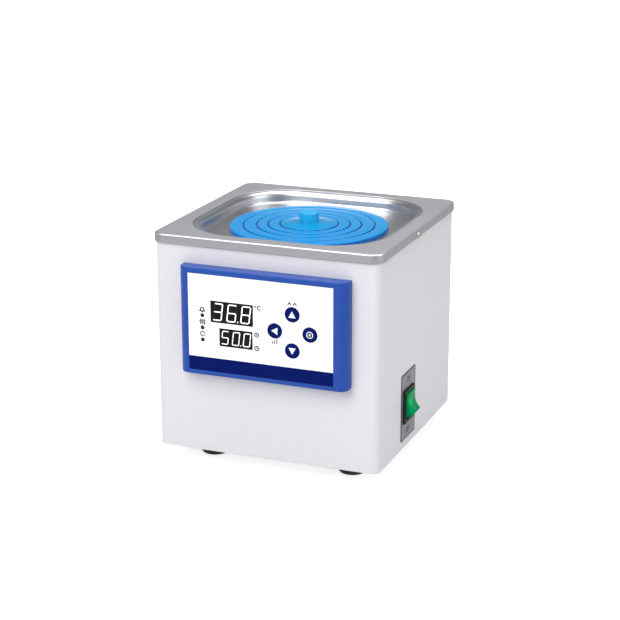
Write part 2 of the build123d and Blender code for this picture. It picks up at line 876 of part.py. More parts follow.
def indicator_lamp(place):
    """A round lamp on the control board with a domed end in the overlay."""
    x, z = place
    dome = overlay_front - lamp_proud + lamp_radius
    lamp = along_y(Pos(x, z) * Circle(lamp_radius), dome, board_front)
    return lamp + Pos(x, dome, z) * Sphere(lamp_radius)


def panel_key(place):
    """A round key with a short stem that pushes its switch."""
    x, z = place
    front = panel_front - key_proud
    key = along_y(Pos(x, z) * Circle(key_radius), front, front + key_thickness)
    key = fillet(key.edges().group_by(Axis.Y)[0], key_edge_radius)
    end = board_front - tact_height - tact_button_height - tact_button_gap
    return key + along_y(Pos(x, z) * Circle(key_stem_radius), front + key_thickness, end)


def key_switch(place):
    """A push switch under one key."""
    x, z = place
    base = board_front - tact_height
    body = along_y(Pos(x, z) * RectangleRounded(tact_size, tact_size, tact_corner), base, board_front)
    top = base - tact_button_height
    return body + along_y(Pos(x, z) * Circle(tact_button_radius), top, base)


def control_board():
    """Control board with its connector, relay and circuit packages on the back."""
    outline = Pos(board_x, board_z) * Rectangle(board_width, board_height)
    for x, z in board_screw_places():
        outline -= Pos(x, z) * Circle(screw_radius + fit_play)
    board = along_y(outline, board_front, board_back)
    packages = {
        "relay": (-32, 14, 19, 15, 8.0),
        "connector": (0, connector_inset - board_height / 2, 40, 8, 7.5),
        "controller": (18, 6, 12, 12, 1.8),
        "driver": (-14, -8, 10, 6, 1.6),
        "capacitor": (40, 20, 10, 10, 7.0),
    }
    for x, z, width, height, depth in packages.values():
        package = Pos(board_x + x, board_z + z) * Rectangle(width, height)
        board += along_y(package, board_back, board_back + depth)
    return board


def board_screws():
    fastener = to_rear * screw(board_gauge + board_screw_grip)
    return Compound([Pos(x, board_back, z) * fastener for x, z in board_screw_places()])


def panel_screws():
    seat = front_face + casing_gauge
    fastener = to_rear * screw(casing_gauge + panel_screw_grip)
    return Compound([Pos(x, seat, z) * fastener for x, z in panel_screw_places()])


def power_board():
    outline = Pos(power_board_x, power_board_y) * Rectangle(power_board_width, power_board_depth)
    low = base_top + spacer_height
    return along_z(outline, low, low + board_gauge)


def power_corners():
    x = power_board_width / 2 - power_board_inset
    y = power_board_depth / 2 - power_board_inset
    return [(power_board_x + sx * x, power_board_y + sy * y) for sx in (-1, 1) for sy in (-1, 1)]


def board_spacers():
    post = along_z(Circle(spacer_radius), base_top, base_top + spacer_height)
    return Compound([Pos(x, y, 0) * post for x, y in power_corners()])


def on_power_board(x, y, width, depth, low, high):
    """A block on the power board, placed from the board's centre."""
    top = base_top + spacer_height + board_gauge
    block = Pos(power_board_x + x, power_board_y + y) * Rectangle(width, depth)
    return along_z(block, top + low, top + high)


def power_transformer():
    """Laminated core with a wound bobbin through it."""
    width, depth, height = core_size
    core = on_power_board(transformer_x, 0, width, depth, 0, height)
    width, depth, height = bobbin_size
    bobbin = on_power_board(transformer_x, 0, width, depth, bobbin_lift, bobbin_lift + height)
    return core + fillet(bobbin.edges().filter_by(Axis.Z), bobbin_corner)


def heater_relay():
    """Relay that switches the heater, on a finned heat sink."""
    x, y = relay_place
    width, depth, height = relay_size
    relay = on_power_board(x, y, width, depth, 0, height)
    for fin in range(fin_count):
        shift = (fin - (fin_count - 1) / 2) * fin_pitch
        relay += on_power_board(x + shift, y, fin_gauge, depth, height, height + fin_height)
    return relay


def terminal_block():
    """Screw terminals along the board's edge."""
    x, y = terminal_place
    width, depth, height = terminal_size
    block = on_power_board(x, y, width, depth, 0, height)
    top = base_top + spacer_height + board_gauge + height
    for way in range(terminal_ways):
        shift = (way - (terminal_ways - 1) / 2) * terminal_pitch
        bore = Pos(power_board_x + x + shift, power_board_y + y) * Circle(terminal_bore)
        block -= along_z(bore, top - terminal_bore_depth, top)
    return block


def switch_plate():
    """Thin plate behind the switch."""
    place = Pos(switch_centre_y + plate_offset, switch_z)
    sheet = place * RectangleRounded(plate_width, plate_height, plate_corner)
    cutout = Rectangle(body_width + 2 * sheet_gap, body_height + 2 * sheet_gap)
    sheet -= Pos(switch_centre_y, switch_z) * cutout
    return along_x(sheet, side_face, plate_face)


def switch_housing():
    """Black switch body with a frame outside, a deep well for the rocker and bearings for its pins."""
    place = Pos(switch_centre_y, switch_z)
    outline = place * RectangleRounded(frame_width, frame_height, frame_corner)
    bezel = along_x(outline, plate_face, frame_face)
    bezel = chamfer(bezel.edges().group_by(Axis.X)[-1], frame_chamfer)
    rear = plate_face - body_depth
    body = bezel + along_x(place * Rectangle(body_width, body_height), rear, plate_face)
    reach = rocker_reach() + rocker_play
    well = Rectangle(rocker_width + 2 * rocker_side_play, 2 * reach)
    body -= along_x(place * well, rear + body_floor, frame_face)
    bearing = Pos(pivot_x, switch_z) * Circle(pivot_radius + pivot_play)
    half = rocker_width / 2 + pivot_length + rocker_side_play
    return body - along_y(bearing, switch_centre_y - half, switch_centre_y + half)


def rocker_reach():
    """How far up or down the rocker's nose or shoulder swings from the pivot."""
    nose = rocker_half_length * math.cos(rocker_swing) + rocker_tip * math.sin(rocker_swing)
    shoulder = rocker_shoulder_half * math.cos(rocker_swing) + rocker_shoulder * math.sin(rocker_swing)
    return max(nose, shoulder)


def rocker():
    """Rocker with a hollow face, drafted ends, a round barrel and two pivot pins, upper end pressed."""
    tip = rocker_tip
    half = rocker_half_length
    barrel = rocker_barrel
    shoulder = (rocker_shoulder, rocker_shoulder_half)
    upper = Polyline((tip, half), shoulder, (rocker_waist, barrel), (0, barrel))
    lower = Polyline((0, -barrel), (rocker_waist, -barrel), (shoulder[0], -shoulder[1]), (tip, -half))
    back = ThreePointArc((0, barrel), (-barrel, 0), (0, -barrel))
    face = ThreePointArc((tip, -half), (tip - rocker_hollow, 0), (tip, half))
    outline = make_face(upper + back + lower + face)
    body = along_y(outline, -rocker_width / 2, rocker_width / 2)
    pin = along_y(Circle(pivot_radius), -rocker_width / 2 - pivot_length, rocker_width / 2 + pivot_length)
    return Pos(pivot_x, switch_centre_y, switch_z) * Rot(0, -rocker_angle, 0) * (body + pin)


def switch_terminals():
    """Flat blades at the back of the switch."""
    rear = plate_face - body_depth
    blades = []
    for dy in (-blade_column / 2, blade_column / 2):
        for dz in (-blade_row / 2, blade_row / 2):
            blade = Pos(switch_centre_y + dy, switch_z + dz) * Rectangle(blade_gauge, blade_width)
            blades.append(along_x(blade, rear - blade_length, rear))
    return Compound(blades)


def cord_gland():
    """Gland for the mains cord: wrench collar, domed cap and a threaded sleeve through the panel."""
    place = Pos(gland_x, fitting_z)
    outside = rear_skin + gland_collar
    hexagon = RegularPolygon(gland_wrench / 2, 6, major_radius=False)
    gland = along_y(place * hexagon, rear_skin, outside)
    dome = along_y(place * Circle(gland_dome), outside, outside + gland_dome_length)
    gland += fillet(dome.edges().group_by(Axis.Y)[-1], gland_dome_edge)
    gland += along_y(place * Circle(gland_sleeve), rear_skin - casing_gauge - gland_inside, rear_skin)
    bore = place * Circle(gland_bore)
    return gland - along_y(bore, rear_skin - casing_gauge - gland_inside, outside + gland_dome_length)


def gland_nut():
    inside = rear_skin - casing_gauge
    hexagon = RegularPolygon(gland_wrench / 2, 6, major_radius=False)
    ring = hexagon - Circle(gland_sleeve + fit_play)
    return along_y(Pos(gland_x, fitting_z) * ring, inside - gland_nut_thickness, inside)


def fuse_holder():
    """Panel fuse holder with a flange outside and a blind barrel."""
    place = Pos(fuse_x, fitting_z)
    flange_face = rear_skin + fuse_flange
    holder = along_y(place * Circle(fuse_flange_radius), rear_skin, flange_face)
    inner_end = rear_skin - casing_gauge - fuse_body_depth
    holder += along_y(place * Circle(fuse_body_radius), inner_end, rear_skin)
    bore = place * Circle(fuse_plug_radius + fuse_play)
    return holder - along_y(bore, flange_face - fuse_plug_length - fuse_flange, flange_face)


def fuse_cap():
    """Quarter-turn cap with a slot for a screwdriver and a plug that holds the fuse."""
    place = Pos(fuse_x, fitting_z)
    seat = rear_skin + fuse_flange + fuse_play
    outer = seat + fuse_cap_length
    cap = along_y(place * Circle(fuse_cap_radius), seat, outer)
    cap = chamfer(cap.edges().group_by(Axis.Y)[-1], fuse_chamfer)
    cap -= along_y(place * Rectangle(fuse_slot_length, fuse_slot_width), outer - fuse_slot_depth, outer)
    return cap + along_y(place * Circle(fuse_plug_radius), seat - fuse_plug_length, seat)


def foot(place):
    """Rubber foot with a counterbore for its screw."""
    x, y = place
    top = base_top - casing_gauge
    bore = foot_screw_radius + hole_clearance
    outline = Polyline(
        (bore, foot_seat),
        (foot_bore, foot_seat),
        (foot_bore, 0),
        (foot_radius - foot_edge_radius, 0),
        (foot_radius, foot_edge_radius),
        (foot_top_radius, top),
        (bore, top),
        close=True,
    )
    return Pos(x, y, 0) * turned(make_face(outline))


def foot_screws():
    """Screws through the feet and the base, each with a nut inside."""
    length = base_top - foot_seat + foot_screw_spare
    pieces = []
    for x, y in foot_places().values():
        fastener = screw(length, foot_screw_radius, foot_screw_head, foot_screw_head_height)
        pieces.append(Pos(x, y, foot_seat) * to_below * fastener)
        pieces.append(Pos(x, y, base_top) * hex_nut(nut_flats, nut_thickness, foot_screw_radius + fit_play))
    return Compound(pieces)


def base_screws():
    fastener = to_below * screw(sheet_screw_length)
    return Compound([Pos(x, y, casing_bottom) * fastener for x, y in base_screw_places()])


def rear_screws():
    fastener = to_rear * screw(sheet_screw_length)
    return Compound([Pos(x, rear_face, z) * fastener for x, z in rear_screw_places()])


def cover_screws():
    """One screw in each side of the cover's skirt."""
    fastener = screw(cover_screw_length)
    right = Pos(cover_width / 2, -cover_screw_back, cover_screw_z) * to_right * fastener
    left = Pos(-cover_width / 2, -cover_screw_back, cover_screw_z) * to_left * fastener
    return Compound([right, left])


def earth_stud():
    """Earthing stud on the base plate with its nut."""
    stud = along_z(Circle(foot_screw_radius), base_top, base_top + earth_length)
    stud += along_z(Circle(earth_collar_radius), base_top, base_top + earth_collar)
    nut = Pos(0, 0, base_top + earth_collar) * hex_nut(nut_flats, nut_thickness, foot_screw_radius + fit_play)
    return Pos(foot_x + earth_shift[0], earth_shift[1], 0) * Compound([stud, nut])


def main():
    os.makedirs("parts", exist_ok=True)
    save(casing(), "casing")
    save(rear_panel(), "rear_panel")
    save(base_plate(), "base_plate")
    save(top_cover(), "top_cover")
    save(well_deck(), "well_deck")
    save(tank(), "tank")
    save(tank_insulation(), "tank_insulation")
    save(heater_element(), "heater_element")
    save(heater_bushings(), "heater_bushings")
    save(temperature_probe(), "temperature_probe")
    save(probe_gland(), "probe_gland")
    save(shelf(), "shelf")
    save(ring_outer(), "ring_outer")
    for index, name in enumerate(("second", "third", "fourth"), start=1):
        save(inner_ring(index), f"ring_{name}")
    save(centre_lid(), "centre_lid")
    save(lid_knob(), "lid_knob")
    save(knob_screw(), "knob_screw")
    save(panel_housing(), "panel_housing")
    save(panel_overlay(), "panel_overlay")
    save(display(0), "pv_display")
    save(display(1), "sv_display")
    for number, place in enumerate(lamp_places(), start=1):
        save(indicator_lamp(place), f"indicator_lamp_{number}")
    for name, place in key_places().items():
        save(panel_key(place), f"key_{name}")
        save(key_switch(place), f"key_switch_{name}")
    save(control_board(), "control_board")
    save(board_screws(), "board_screws")
    save(panel_screws(), "panel_screws")
    save(power_board(), "power_board")
    save(board_spacers(), "board_spacers")
    save(power_transformer(), "power_transformer")
    save(heater_relay(), "heater_relay")
    save(terminal_block(), "terminal_block")
    save(switch_plate(), "switch_plate")
    save(switch_housing(), "switch_housing")
    save(rocker(), "rocker")
    save(switch_terminals(), "switch_terminals")
    save(cord_gland(), "cord_gland")
    save(gland_nut(), "gland_nut")
    save(fuse_holder(), "fuse_holder")
    save(fuse_cap(), "fuse_cap")
    for name, place in foot_places().items():
        save(foot(place), f"foot_{name}")
    save(foot_screws(), "foot_screws")
    save(base_screws(), "base_screws")
    save(rear_screws(), "rear_screws")
    save(cover_screws(), "cover_screws")
    save(earth_stud(), "earth_stud")


if __name__ == "__main__":
    main()
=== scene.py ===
"""Studio scene of a one-hole water bath: finishes for the frame's parts and fine pieces built over them."""

import math
from contextlib import contextmanager

import bmesh
import bpy
from bpy.props import FloatProperty, FloatVectorProperty, IntProperty, PointerProperty, StringProperty
from mathutils import Matrix, Vector


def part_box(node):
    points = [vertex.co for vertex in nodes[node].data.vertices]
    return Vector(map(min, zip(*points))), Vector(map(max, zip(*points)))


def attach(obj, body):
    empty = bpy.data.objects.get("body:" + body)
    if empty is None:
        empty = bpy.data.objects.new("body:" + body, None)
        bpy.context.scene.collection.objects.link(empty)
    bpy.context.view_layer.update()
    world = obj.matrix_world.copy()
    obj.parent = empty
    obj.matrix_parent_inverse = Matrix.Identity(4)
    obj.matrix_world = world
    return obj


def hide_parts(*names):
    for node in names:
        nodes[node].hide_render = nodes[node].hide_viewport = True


bl_info = {
    "name": "Water Bath Studio",
    "version": (1, 0, 0),
    "blender": (4, 5, 0),
    "location": "3D View > Sidebar > Water Bath",
    "description": "Finishes and fine pieces for a one-hole laboratory water bath",
    "category": "Object",
}

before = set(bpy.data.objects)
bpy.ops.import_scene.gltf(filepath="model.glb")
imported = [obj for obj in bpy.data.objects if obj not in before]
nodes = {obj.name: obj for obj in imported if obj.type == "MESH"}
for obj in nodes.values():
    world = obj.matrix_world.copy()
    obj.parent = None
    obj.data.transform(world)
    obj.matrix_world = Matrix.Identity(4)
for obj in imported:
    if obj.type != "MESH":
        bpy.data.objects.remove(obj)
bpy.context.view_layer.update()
casing_low, casing_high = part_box("casing")
deck_low, deck_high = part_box("well_deck")
cover_low, cover_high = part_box("top_cover")
overlay_low, overlay_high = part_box("panel_overlay")
plate_low, plate_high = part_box("switch_plate")
knob_low, knob_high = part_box("lid_knob")
middle_x = (casing_low.x + casing_high.x) / 2
MM = 0.001
DECK_DEPTH = 10.9
HOLE = 62.0
deck_floor = cover_high.z / MM - DECK_DEPTH


def colour(label, default, about):
    """A colour setting."""
    return FloatVectorProperty(
        name=label, description=about, subtype="COLOR", size=3, min=0, max=1, default=default
    )


def length(label, default, about):
    """A length setting, in metres."""
    return FloatProperty(
        name=label, description=about, default=default, unit="LENGTH", subtype="DISTANCE", precision=5
    )


def power(label, default, about):
    """A lamp's power, in watts."""
    return FloatProperty(name=label, description=about, default=default, min=0, unit="POWER")


def angle(label, default, about):
    """An angle setting, given in degrees here."""
    return FloatProperty(name=label, description=about, default=math.radians(default), subtype="ANGLE")


def whole(label, default, least, about):
    """A whole number setting."""
    return IntProperty(name=label, description=about, default=default, min=least)


class BathSizes(bpy.types.PropertyGroup):
    """Sizes that a user may change."""

    ring_rounding: length("Ring rounding", 1.0 * MM, "Radius of the rings' upper edges")
    lathe_steps: whole("Lathe steps", 160, 24, "Segments round a turned piece")
    outline_steps: whole("Outline steps", 288, 64, "Points round a sheet piece")
    digit_slant: angle("Digit slant", 7, "Lean of the digits")
    ink_thickness: length("Ink thickness", 0.03 * MM, "Height of printed marks over their surface")


class BathColours(bpy.types.PropertyGroup):
    """Colours that a user may change."""

    shell: colour("Shell", (0.665, 0.652, 0.68), "Powder coat of the casing")
    cover: colour("Cover", (0.72, 0.715, 0.74), "Satin steel of the cover")
    deck: colour("Deck", (0.58, 0.59, 0.61), "Polished steel of the deck")
    ring: colour("Rings", (0.003, 0.24, 0.56), "Plastic of the reducing rings")
    lid: colour("Lid", (0.003, 0.24, 0.50), "Plastic of the centre lid")
    knob: colour("Knob", (0.010, 0.35, 0.66), "Plastic of the lid's knob")
    housing: colour("Panel housing", (0.008, 0.060, 0.33), "Plastic of the panel housing")
    film: colour("Panel film", (0.93, 0.93, 0.94), "Ground of the printed film")
    band: colour("Panel band", (0.0, 0.007, 0.105), "Band and keys of the panel")
    ink: colour("Ink", (0.018, 0.018, 0.02), "Small printed marks")
    rocker: colour("Rocker", (0.0, 0.27, 0.085), "Translucent rocker")
    glow: colour("Glow", (0.01, 0.9, 0.08), "Light inside the rocker")
    plate: colour("Switch plate", (0.25, 0.25, 0.265), "Metal plate behind the switch")


class BathStudio(bpy.types.PropertyGroup):
    """Camera and light."""

    lens: FloatProperty(name="Lens", description="Focal length in millimetres", default=102.2, min=10)
    roll: angle("Roll", -0.1, "Turn about the line of sight")
    camera_x: length("Camera X", 0.5611, "Place of the camera, from the casing's middle")
    camera_y: length("Camera Y", -1.4141, "Place of the camera")
    camera_z: length("Camera Z", 0.5892, "Place of the camera")
    target_x: length("Target X", 0.67 * MM, "Place that the camera looks at, from the casing's middle")
    target_z: length("Target Z", 0.12184, "Height that the camera looks at")
    key_power: power("Key light", 35, "Power of the front light")
    side_power: power("Side light", 10, "Power of the right light")
    top_power: power("Top light", 20, "Power of the overhead light")
    surround: FloatProperty(name="Surround", description="Brightness of the surroundings", default=0.5, min=0)


def add(tree, kind, inputs=None, **settings):
    """Add a node, set its options, and fill its inputs with values or links."""
    node = tree.nodes.new(kind)
    for key, value in settings.items():
        setattr(node, key, value)
    for key, value in (inputs or {}).items():
        socket = node.inputs[key]
        if isinstance(value, bpy.types.NodeSocket):
            tree.links.new(value, socket)
        else:
            socket.default_value = value
    return node


def maths(tree, operation, first, second=0.0):
    """One Math node's result."""
    return add(tree, "ShaderNodeMath", {0: first, 1: second}, operation=operation).outputs[0]


def combined(tree, x=0.0, y=0.0, z=0.0):
    """A vector of three numbers."""
    return add(tree, "ShaderNodeCombineXYZ", {0: x, 1: y, 2: z}).outputs[0]


def separated(tree, vector):
    """The three numbers of a vector."""
    return add(tree, "ShaderNodeSeparateXYZ", {0: vector}).outputs


def object_place(tree):
    """Coordinates on the piece itself."""
    return add(tree, "ShaderNodeTexCoord").outputs["Object"]


def built_once(name):
    """Have a node group built on its first use, and found by its name after that."""

    def keep(build):
        return lambda: bpy.data.node_groups.get(name) or build(name)

    return keep


def group_tree(name, kind, inputs, outputs):
    """A node group, each input given by its default or else by its kind, and the sockets of its two ends."""
    kinds = {float: "Float", int: "Int", tuple: "Vector"}
    tree = bpy.data.node_groups.new(name, kind)
    for label, default in inputs.items():
        sort = kinds.get(type(default), default)
        socket = tree.interface.new_socket(label, in_out="INPUT", socket_type="NodeSocket" + sort)
        if sort != default:
            socket.default_value = default
    for label, sort in outputs.items():
        tree.interface.new_socket(label, in_out="OUTPUT", socket_type="NodeSocket" + sort)
    return tree, tree.nodes.new("NodeGroupInput").outputs, tree.nodes.new("NodeGroupOutput").inputs


@built_once("Fine Grain")
def grain_group(name):
    """Fine grain: a height and a slow mask, stretched along any axis."""
    tree, pick, result = group_tree(
        name,
        "ShaderNodeTree",
        {"Stretch": (1.0, 1.0, 1.0), "Grain Size": 0.001, "Cloud Size": 0.06, "Detail": 2.0},
        {"Height": "Float", "Cloud": "Float"},
    )
    place = object_place(tree)
    stretched = add(tree, "ShaderNodeMapping", {"Vector": place, "Scale": pick["Stretch"]}).outputs[0]
    fine = maths(tree, "DIVIDE", 1.0, pick["Grain Size"])
    slow = maths(tree, "DIVIDE", 1.0, pick["Cloud Size"])
    grain = {"Vector": stretched, "Scale": fine, "Detail": pick["Detail"], "Roughness": 0.55}
    cloud = {"Vector": place, "Scale": slow, "Detail": 3.0, "Roughness": 0.5}
    tree.links.new(add(tree, "ShaderNodeTexNoise", grain).outputs[0], result["Height"])
    tree.links.new(add(tree, "ShaderNodeTexNoise", cloud).outputs[0], result["Cloud"])
    return tree


@built_once("Rectangle Mask")
def rectangle_group(name):
    """Mask of a rectangle in two object coordinates: 1 inside, 0 outside."""
    tree, pick, result = group_tree(
        name,
        "ShaderNodeTree",
        {
            "Across": 0.0, "Up": 0.0, "Centre Across": 0.0, "Centre Up": 0.0, "Half Width": 0.01,
            "Half Height": 0.01, "Softness": 0.00005,
        },
        {"Mask": "Float"},
    )
    across = maths(tree, "ABSOLUTE", maths(tree, "SUBTRACT", pick["Across"], pick["Centre Across"]))
    up = maths(tree, "ABSOLUTE", maths(tree, "SUBTRACT", pick["Up"], pick["Centre Up"]))
    beyond_side = maths(tree, "SUBTRACT", across, pick["Half Width"])
    beyond_top = maths(tree, "SUBTRACT", up, pick["Half Height"])
    beyond = maths(tree, "MAXIMUM", beyond_side, beyond_top)
    inside = maths(tree, "DIVIDE", maths(tree, "MULTIPLY", beyond, -1.0), pick["Softness"])
    mask = add(tree, "ShaderNodeClamp", {"Value": maths(tree, "ADD", inside, 0.5)})
    tree.links.new(mask.outputs[0], result["Mask"])
    return tree


def rectangle_mask(tree, across, centre, half_width, half_height):
    """A rectangle's mask round a centre (across, up), with the object axis that runs across."""
    here = separated(tree, object_place(tree))
    inputs = {
        "Across": here[across], "Up": here[2], "Centre Across": centre[0], "Centre Up": centre[1],
        "Half Width": half_width, "Half Height": half_height,
    }
    return add(tree, "ShaderNodeGroup", inputs, node_tree=rectangle_group()).outputs[0]


@built_once("Soft Spot")
def spot_group(name):
    """Mask of a soft round spot at a place in object coordinates: 1 at the middle, 0 outside."""
    inputs = {"Place": (0.0, 0.0, 0.0), "Radius": 0.005, "Fall": 2.0}
    tree, pick, result = group_tree(name, "ShaderNodeTree", inputs, {"Mask": "Float"})
    ends = {0: object_place(tree), 1: pick["Place"]}
    away = add(tree, "ShaderNodeVectorMath", ends, operation="DISTANCE").outputs["Value"]
    near = maths(tree, "SUBTRACT", 1.0, maths(tree, "DIVIDE", away, pick["Radius"]))
    tree.links.new(maths(tree, "POWER", maths(tree, "MAXIMUM", near, 0.0), pick["Fall"]), result["Mask"])
    return tree


def new_material(name, **constants):
    """A material with one Principled shader, whose plain sockets are set here; gives both."""
    material = bpy.data.materials.new(name)
    material.use_nodes = True
    shader = material.node_tree.nodes["Principled BSDF"]
    for key, value in constants.items():
        socket = next(item for item in shader.inputs if item.name.lower().replace(" ", "_") == key)
        socket.default_value = (*value, 1.0) if socket.type == "RGBA" else value
    return material, shader


def shade(tree, low, high, mask):
    """A colour that goes from low to high with a mask."""
    mix = add(tree, "ShaderNodeMix", {0: mask}, data_type="RGBA")
    for socket, value in ((mix.inputs[6], low), (mix.inputs[7], high)):
        if isinstance(value, bpy.types.NodeSocket):
            tree.links.new(value, socket)
        else:
            socket.default_value = (*value, 1.0)
    return mix.outputs[2]


def darker(tint, share):
    """A share of a colour."""
    return tuple(part * share for part in tint)


RELIEF = 0.3


def grained(name, tint, grain=0.001, cloud=0.06, depth=0.1, roughness=(0.4, 0.5), stretch=(1, 1, 1),
            tone=0.94, edge=0.0, detail=2.0, **constants):
    """A finish with fine relief, slow changes of tone and roughness, and softened edges where asked for."""
    if name in bpy.data.materials:
        return bpy.data.materials[name]
    material, shader = new_material(name, **constants)
    tree = material.node_tree
    inputs = {"Stretch": stretch, "Grain Size": grain, "Cloud Size": cloud, "Detail": detail}
    height, slow = add(tree, "ShaderNodeGroup", inputs, node_tree=grain_group()).outputs
    tree.links.new(shade(tree, darker(tint, tone), tuple(tint), slow), shader.inputs["Base Color"])
    gloss = add(tree, "ShaderNodeMapRange", {"Value": slow, "To Min": roughness[0], "To Max": roughness[1]})
    tree.links.new(gloss.outputs[0], shader.inputs["Roughness"])
    bump = add(tree, "ShaderNodeBump", {"Height": height, "Strength": depth, "Distance": grain * RELIEF})
    if edge:
        rounding = add(tree, "ShaderNodeBevel", {"Radius": edge}, samples=4)
        tree.links.new(rounding.outputs[0], bump.inputs["Normal"])
    tree.links.new(bump.outputs[0], shader.inputs["Normal"])
    return material


def repaint(material, mask, low=None, high=None):
    """Mix another colour into a finish: low shows where the mask is 0, high where it is 1."""
    tree = material.node_tree
    base = tree.nodes["Principled BSDF"].inputs["Base Color"]
    own = base.links[0].from_socket
    tree.links.new(shade(tree, low or own, high or own, mask), base)


def painted_side_shade(material, side, upright, level):
    """Painted shade: the faces of a finish that look sideways take a darker colour of their own, mixed in by
    how upright they are.
    """
    tree = material.node_tree
    rise = separated(tree, add(tree, "ShaderNodeNewGeometry").outputs["Normal"])[2]
    # The mask is 0 on upright faces, which get the painted shade, and 1 on level faces, which keep the
    # finish.
    mask = add(tree, "ShaderNodeMapRange", {"Value": rise, "From Min": upright, "From Max": level})
    repaint(material, mask.outputs[0], low=side)


def paint(material, *names):
    """Give a finish to nodes of the frame."""
    for name in names:
        mesh = nodes[name].data
        mesh.materials.clear()
        mesh.materials.append(material)


def piece(name, mesh, material, body, stands_for=(), smooth=True):
    """Link a finished mesh as a piece that rides on a body."""
    if material is not None:
        mesh.materials.clear()
        mesh.materials.append(material)
    for face in mesh.polygons:
        face.use_smooth = smooth
    made = bpy.data.objects.new(name, mesh)
    bpy.context.scene.collection.objects.link(made)
    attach(made, body)
    if stands_for:
        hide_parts(*stands_for)


@contextmanager
def editing(mesh):
    """Edit a mesh in place."""
    shell = bmesh.new()
    shell.from_mesh(mesh)
    yield shell
    shell.to_mesh(mesh)
    shell.free()


def face_outwards(shell):
    """Turn all faces of a shell outwards."""
    bmesh.ops.recalc_face_normals(shell, faces=shell.faces)


def finished(shell, name):
    """The mesh of a shell that needs no more edits."""
    mesh = bpy.data.meshes.new(name)
    shell.to_mesh(mesh)
    shell.free()
    return mesh


def sharp_by_angle(mesh, degrees):
    """Mark the edges that stay crisp under smooth shading."""
    with editing(mesh) as shell:
        for edge in shell.edges:
            edge.smooth = len(edge.link_faces) == 2 and edge.calc_face_angle(0) < math.radians(degrees)


def prism(shell, near, far):
    """Close two matching outlines into a solid."""
    rings = [[shell.verts.new(point) for point in ring] for ring in (near, far)]
    for ring in rings:
        shell.faces.new(ring)
    join_rings(shell, *rings)


def join_rings(shell, low, high):
    """A belt of faces between two rings of points."""
    for index in range(len(low)):
        after = (index + 1) % len(low)
        shell.faces.new((low[index], low[after], high[after], high[index]))


SIDE_STEP = 4 * MM


def outline(half, radius, count):
    """Points round a rounded square from the middle of its right side, anticlockwise."""
    straight = half - radius
    quarter_steps = count // 4
    side_steps = min(round(straight / SIDE_STEP), quarter_steps // 3)
    bend_steps = quarter_steps - 2 * side_steps
    points = []
    for quarter, (across, up) in enumerate(((1, 1), (-1, 1), (-1, -1), (1, -1))):
        places = [quarter + step / bend_steps for step in range(bend_steps + 1)]
        bend = [corner(across * straight, up * straight, radius, place) for place in places]
        first, last = bend[0], bend[-1]
        start, end = ((first[0], 0), (0, last[1])) if quarter % 2 == 0 else ((0, first[1]), (last[0], 0))
        points += [between(start, first, step / side_steps) for step in range(side_steps)]
        points += bend[:-1]
        points += [between(last, end, step / side_steps) for step in range(side_steps)]
    return points


def between(first, last, share):
    """The point at a share of the way between two points."""
    return first[0] + (last[0] - first[0]) * share, first[1] + (last[1] - first[1]) * share


def corner(x, y, radius, quarter):
    """The point on a circle at a number of quarter turns."""
    turn = quarter * math.pi / 2
    return x + radius * math.cos(turn), y + radius * math.sin(turn)


def arc(x, z, radius, start, end, steps=8):
    """Points on an arc, with angles in degrees."""
    return [corner(x, z, radius, (start + (end - start) * step / steps) / 90) for step in range(steps + 1)]


def sheet_mesh(name, section, count, crisp):
    """A square sheet piece: each section point is (half width, height, corner radius) in millimetres."""
    shell = bmesh.new()
    rows = []
    for half, height, radius in section:
        points = outline(half * MM, radius * MM, count)
        rows.append([shell.verts.new((middle_x + x, y, height * MM)) for x, y in points])
    for low, high in zip(rows, rows[1:] + rows[:1]):
        join_rings(shell, low, high)
    face_outwards(shell)
    mesh = finished(shell, name)
    sharp_by_angle(mesh, crisp)
    return mesh


def close_tree(tree, geometry, finish, result):
    """End a Geometry Nodes tree: real geometry with its finish."""
    solid = add(tree, "GeometryNodeRealizeInstances", {0: geometry}).outputs[0]
    painted = add(tree, "GeometryNodeSetMaterial", {"Geometry": solid, "Material": finish})
    tree.links.new(painted.outputs[0], result["Geometry"])


@built_once("Turned Piece")
def lathe_tree(name):
    """Geometry Nodes that round a section's corners and turn it about the upright axis."""
    tree, pick, result = group_tree(
        name,
        "GeometryNodeTree",
        {
            "Section": "Geometry", "Steps": 128, "Rounding Steps": 5, "Reference Radius": 0.05,
            "Finish": "Material",
        },
        {"Geometry": "Geometry"},
    )
    rounded = add(
        tree,
        "GeometryNodeFilletCurve",
        {
            "Curve": pick["Section"], "Count": pick["Rounding Steps"],
            "Radius": add(tree, "GeometryNodeInputRadius").outputs[0], "Limit Radius": True,
        },
        mode="POLY",
    )
    place = separated(tree, add(tree, "GeometryNodeInputPosition").outputs[0])
    out = maths(tree, "SUBTRACT", place[0], pick["Reference Radius"])
    flat = combined(tree, out, maths(tree, "MULTIPLY", place[2], -1.0))
    laid = {"Geometry": rounded.outputs[0], "Position": flat}
    section = add(tree, "GeometryNodeSetPosition", laid).outputs[0]
    sizes = {"Resolution": pick["Steps"], "Radius": pick["Reference Radius"]}
    circle = add(tree, "GeometryNodeCurvePrimitiveCircle", sizes).outputs["Curve"]
    skin = add(tree, "GeometryNodeCurveToMesh", {"Curve": circle, "Profile Curve": section}).outputs[0]
    joined = add(tree, "GeometryNodeMergeByDistance", {"Geometry": skin, "Distance": 1e-6}).outputs[0]
    close_tree(tree, joined, pick["Finish"], result)
    return tree


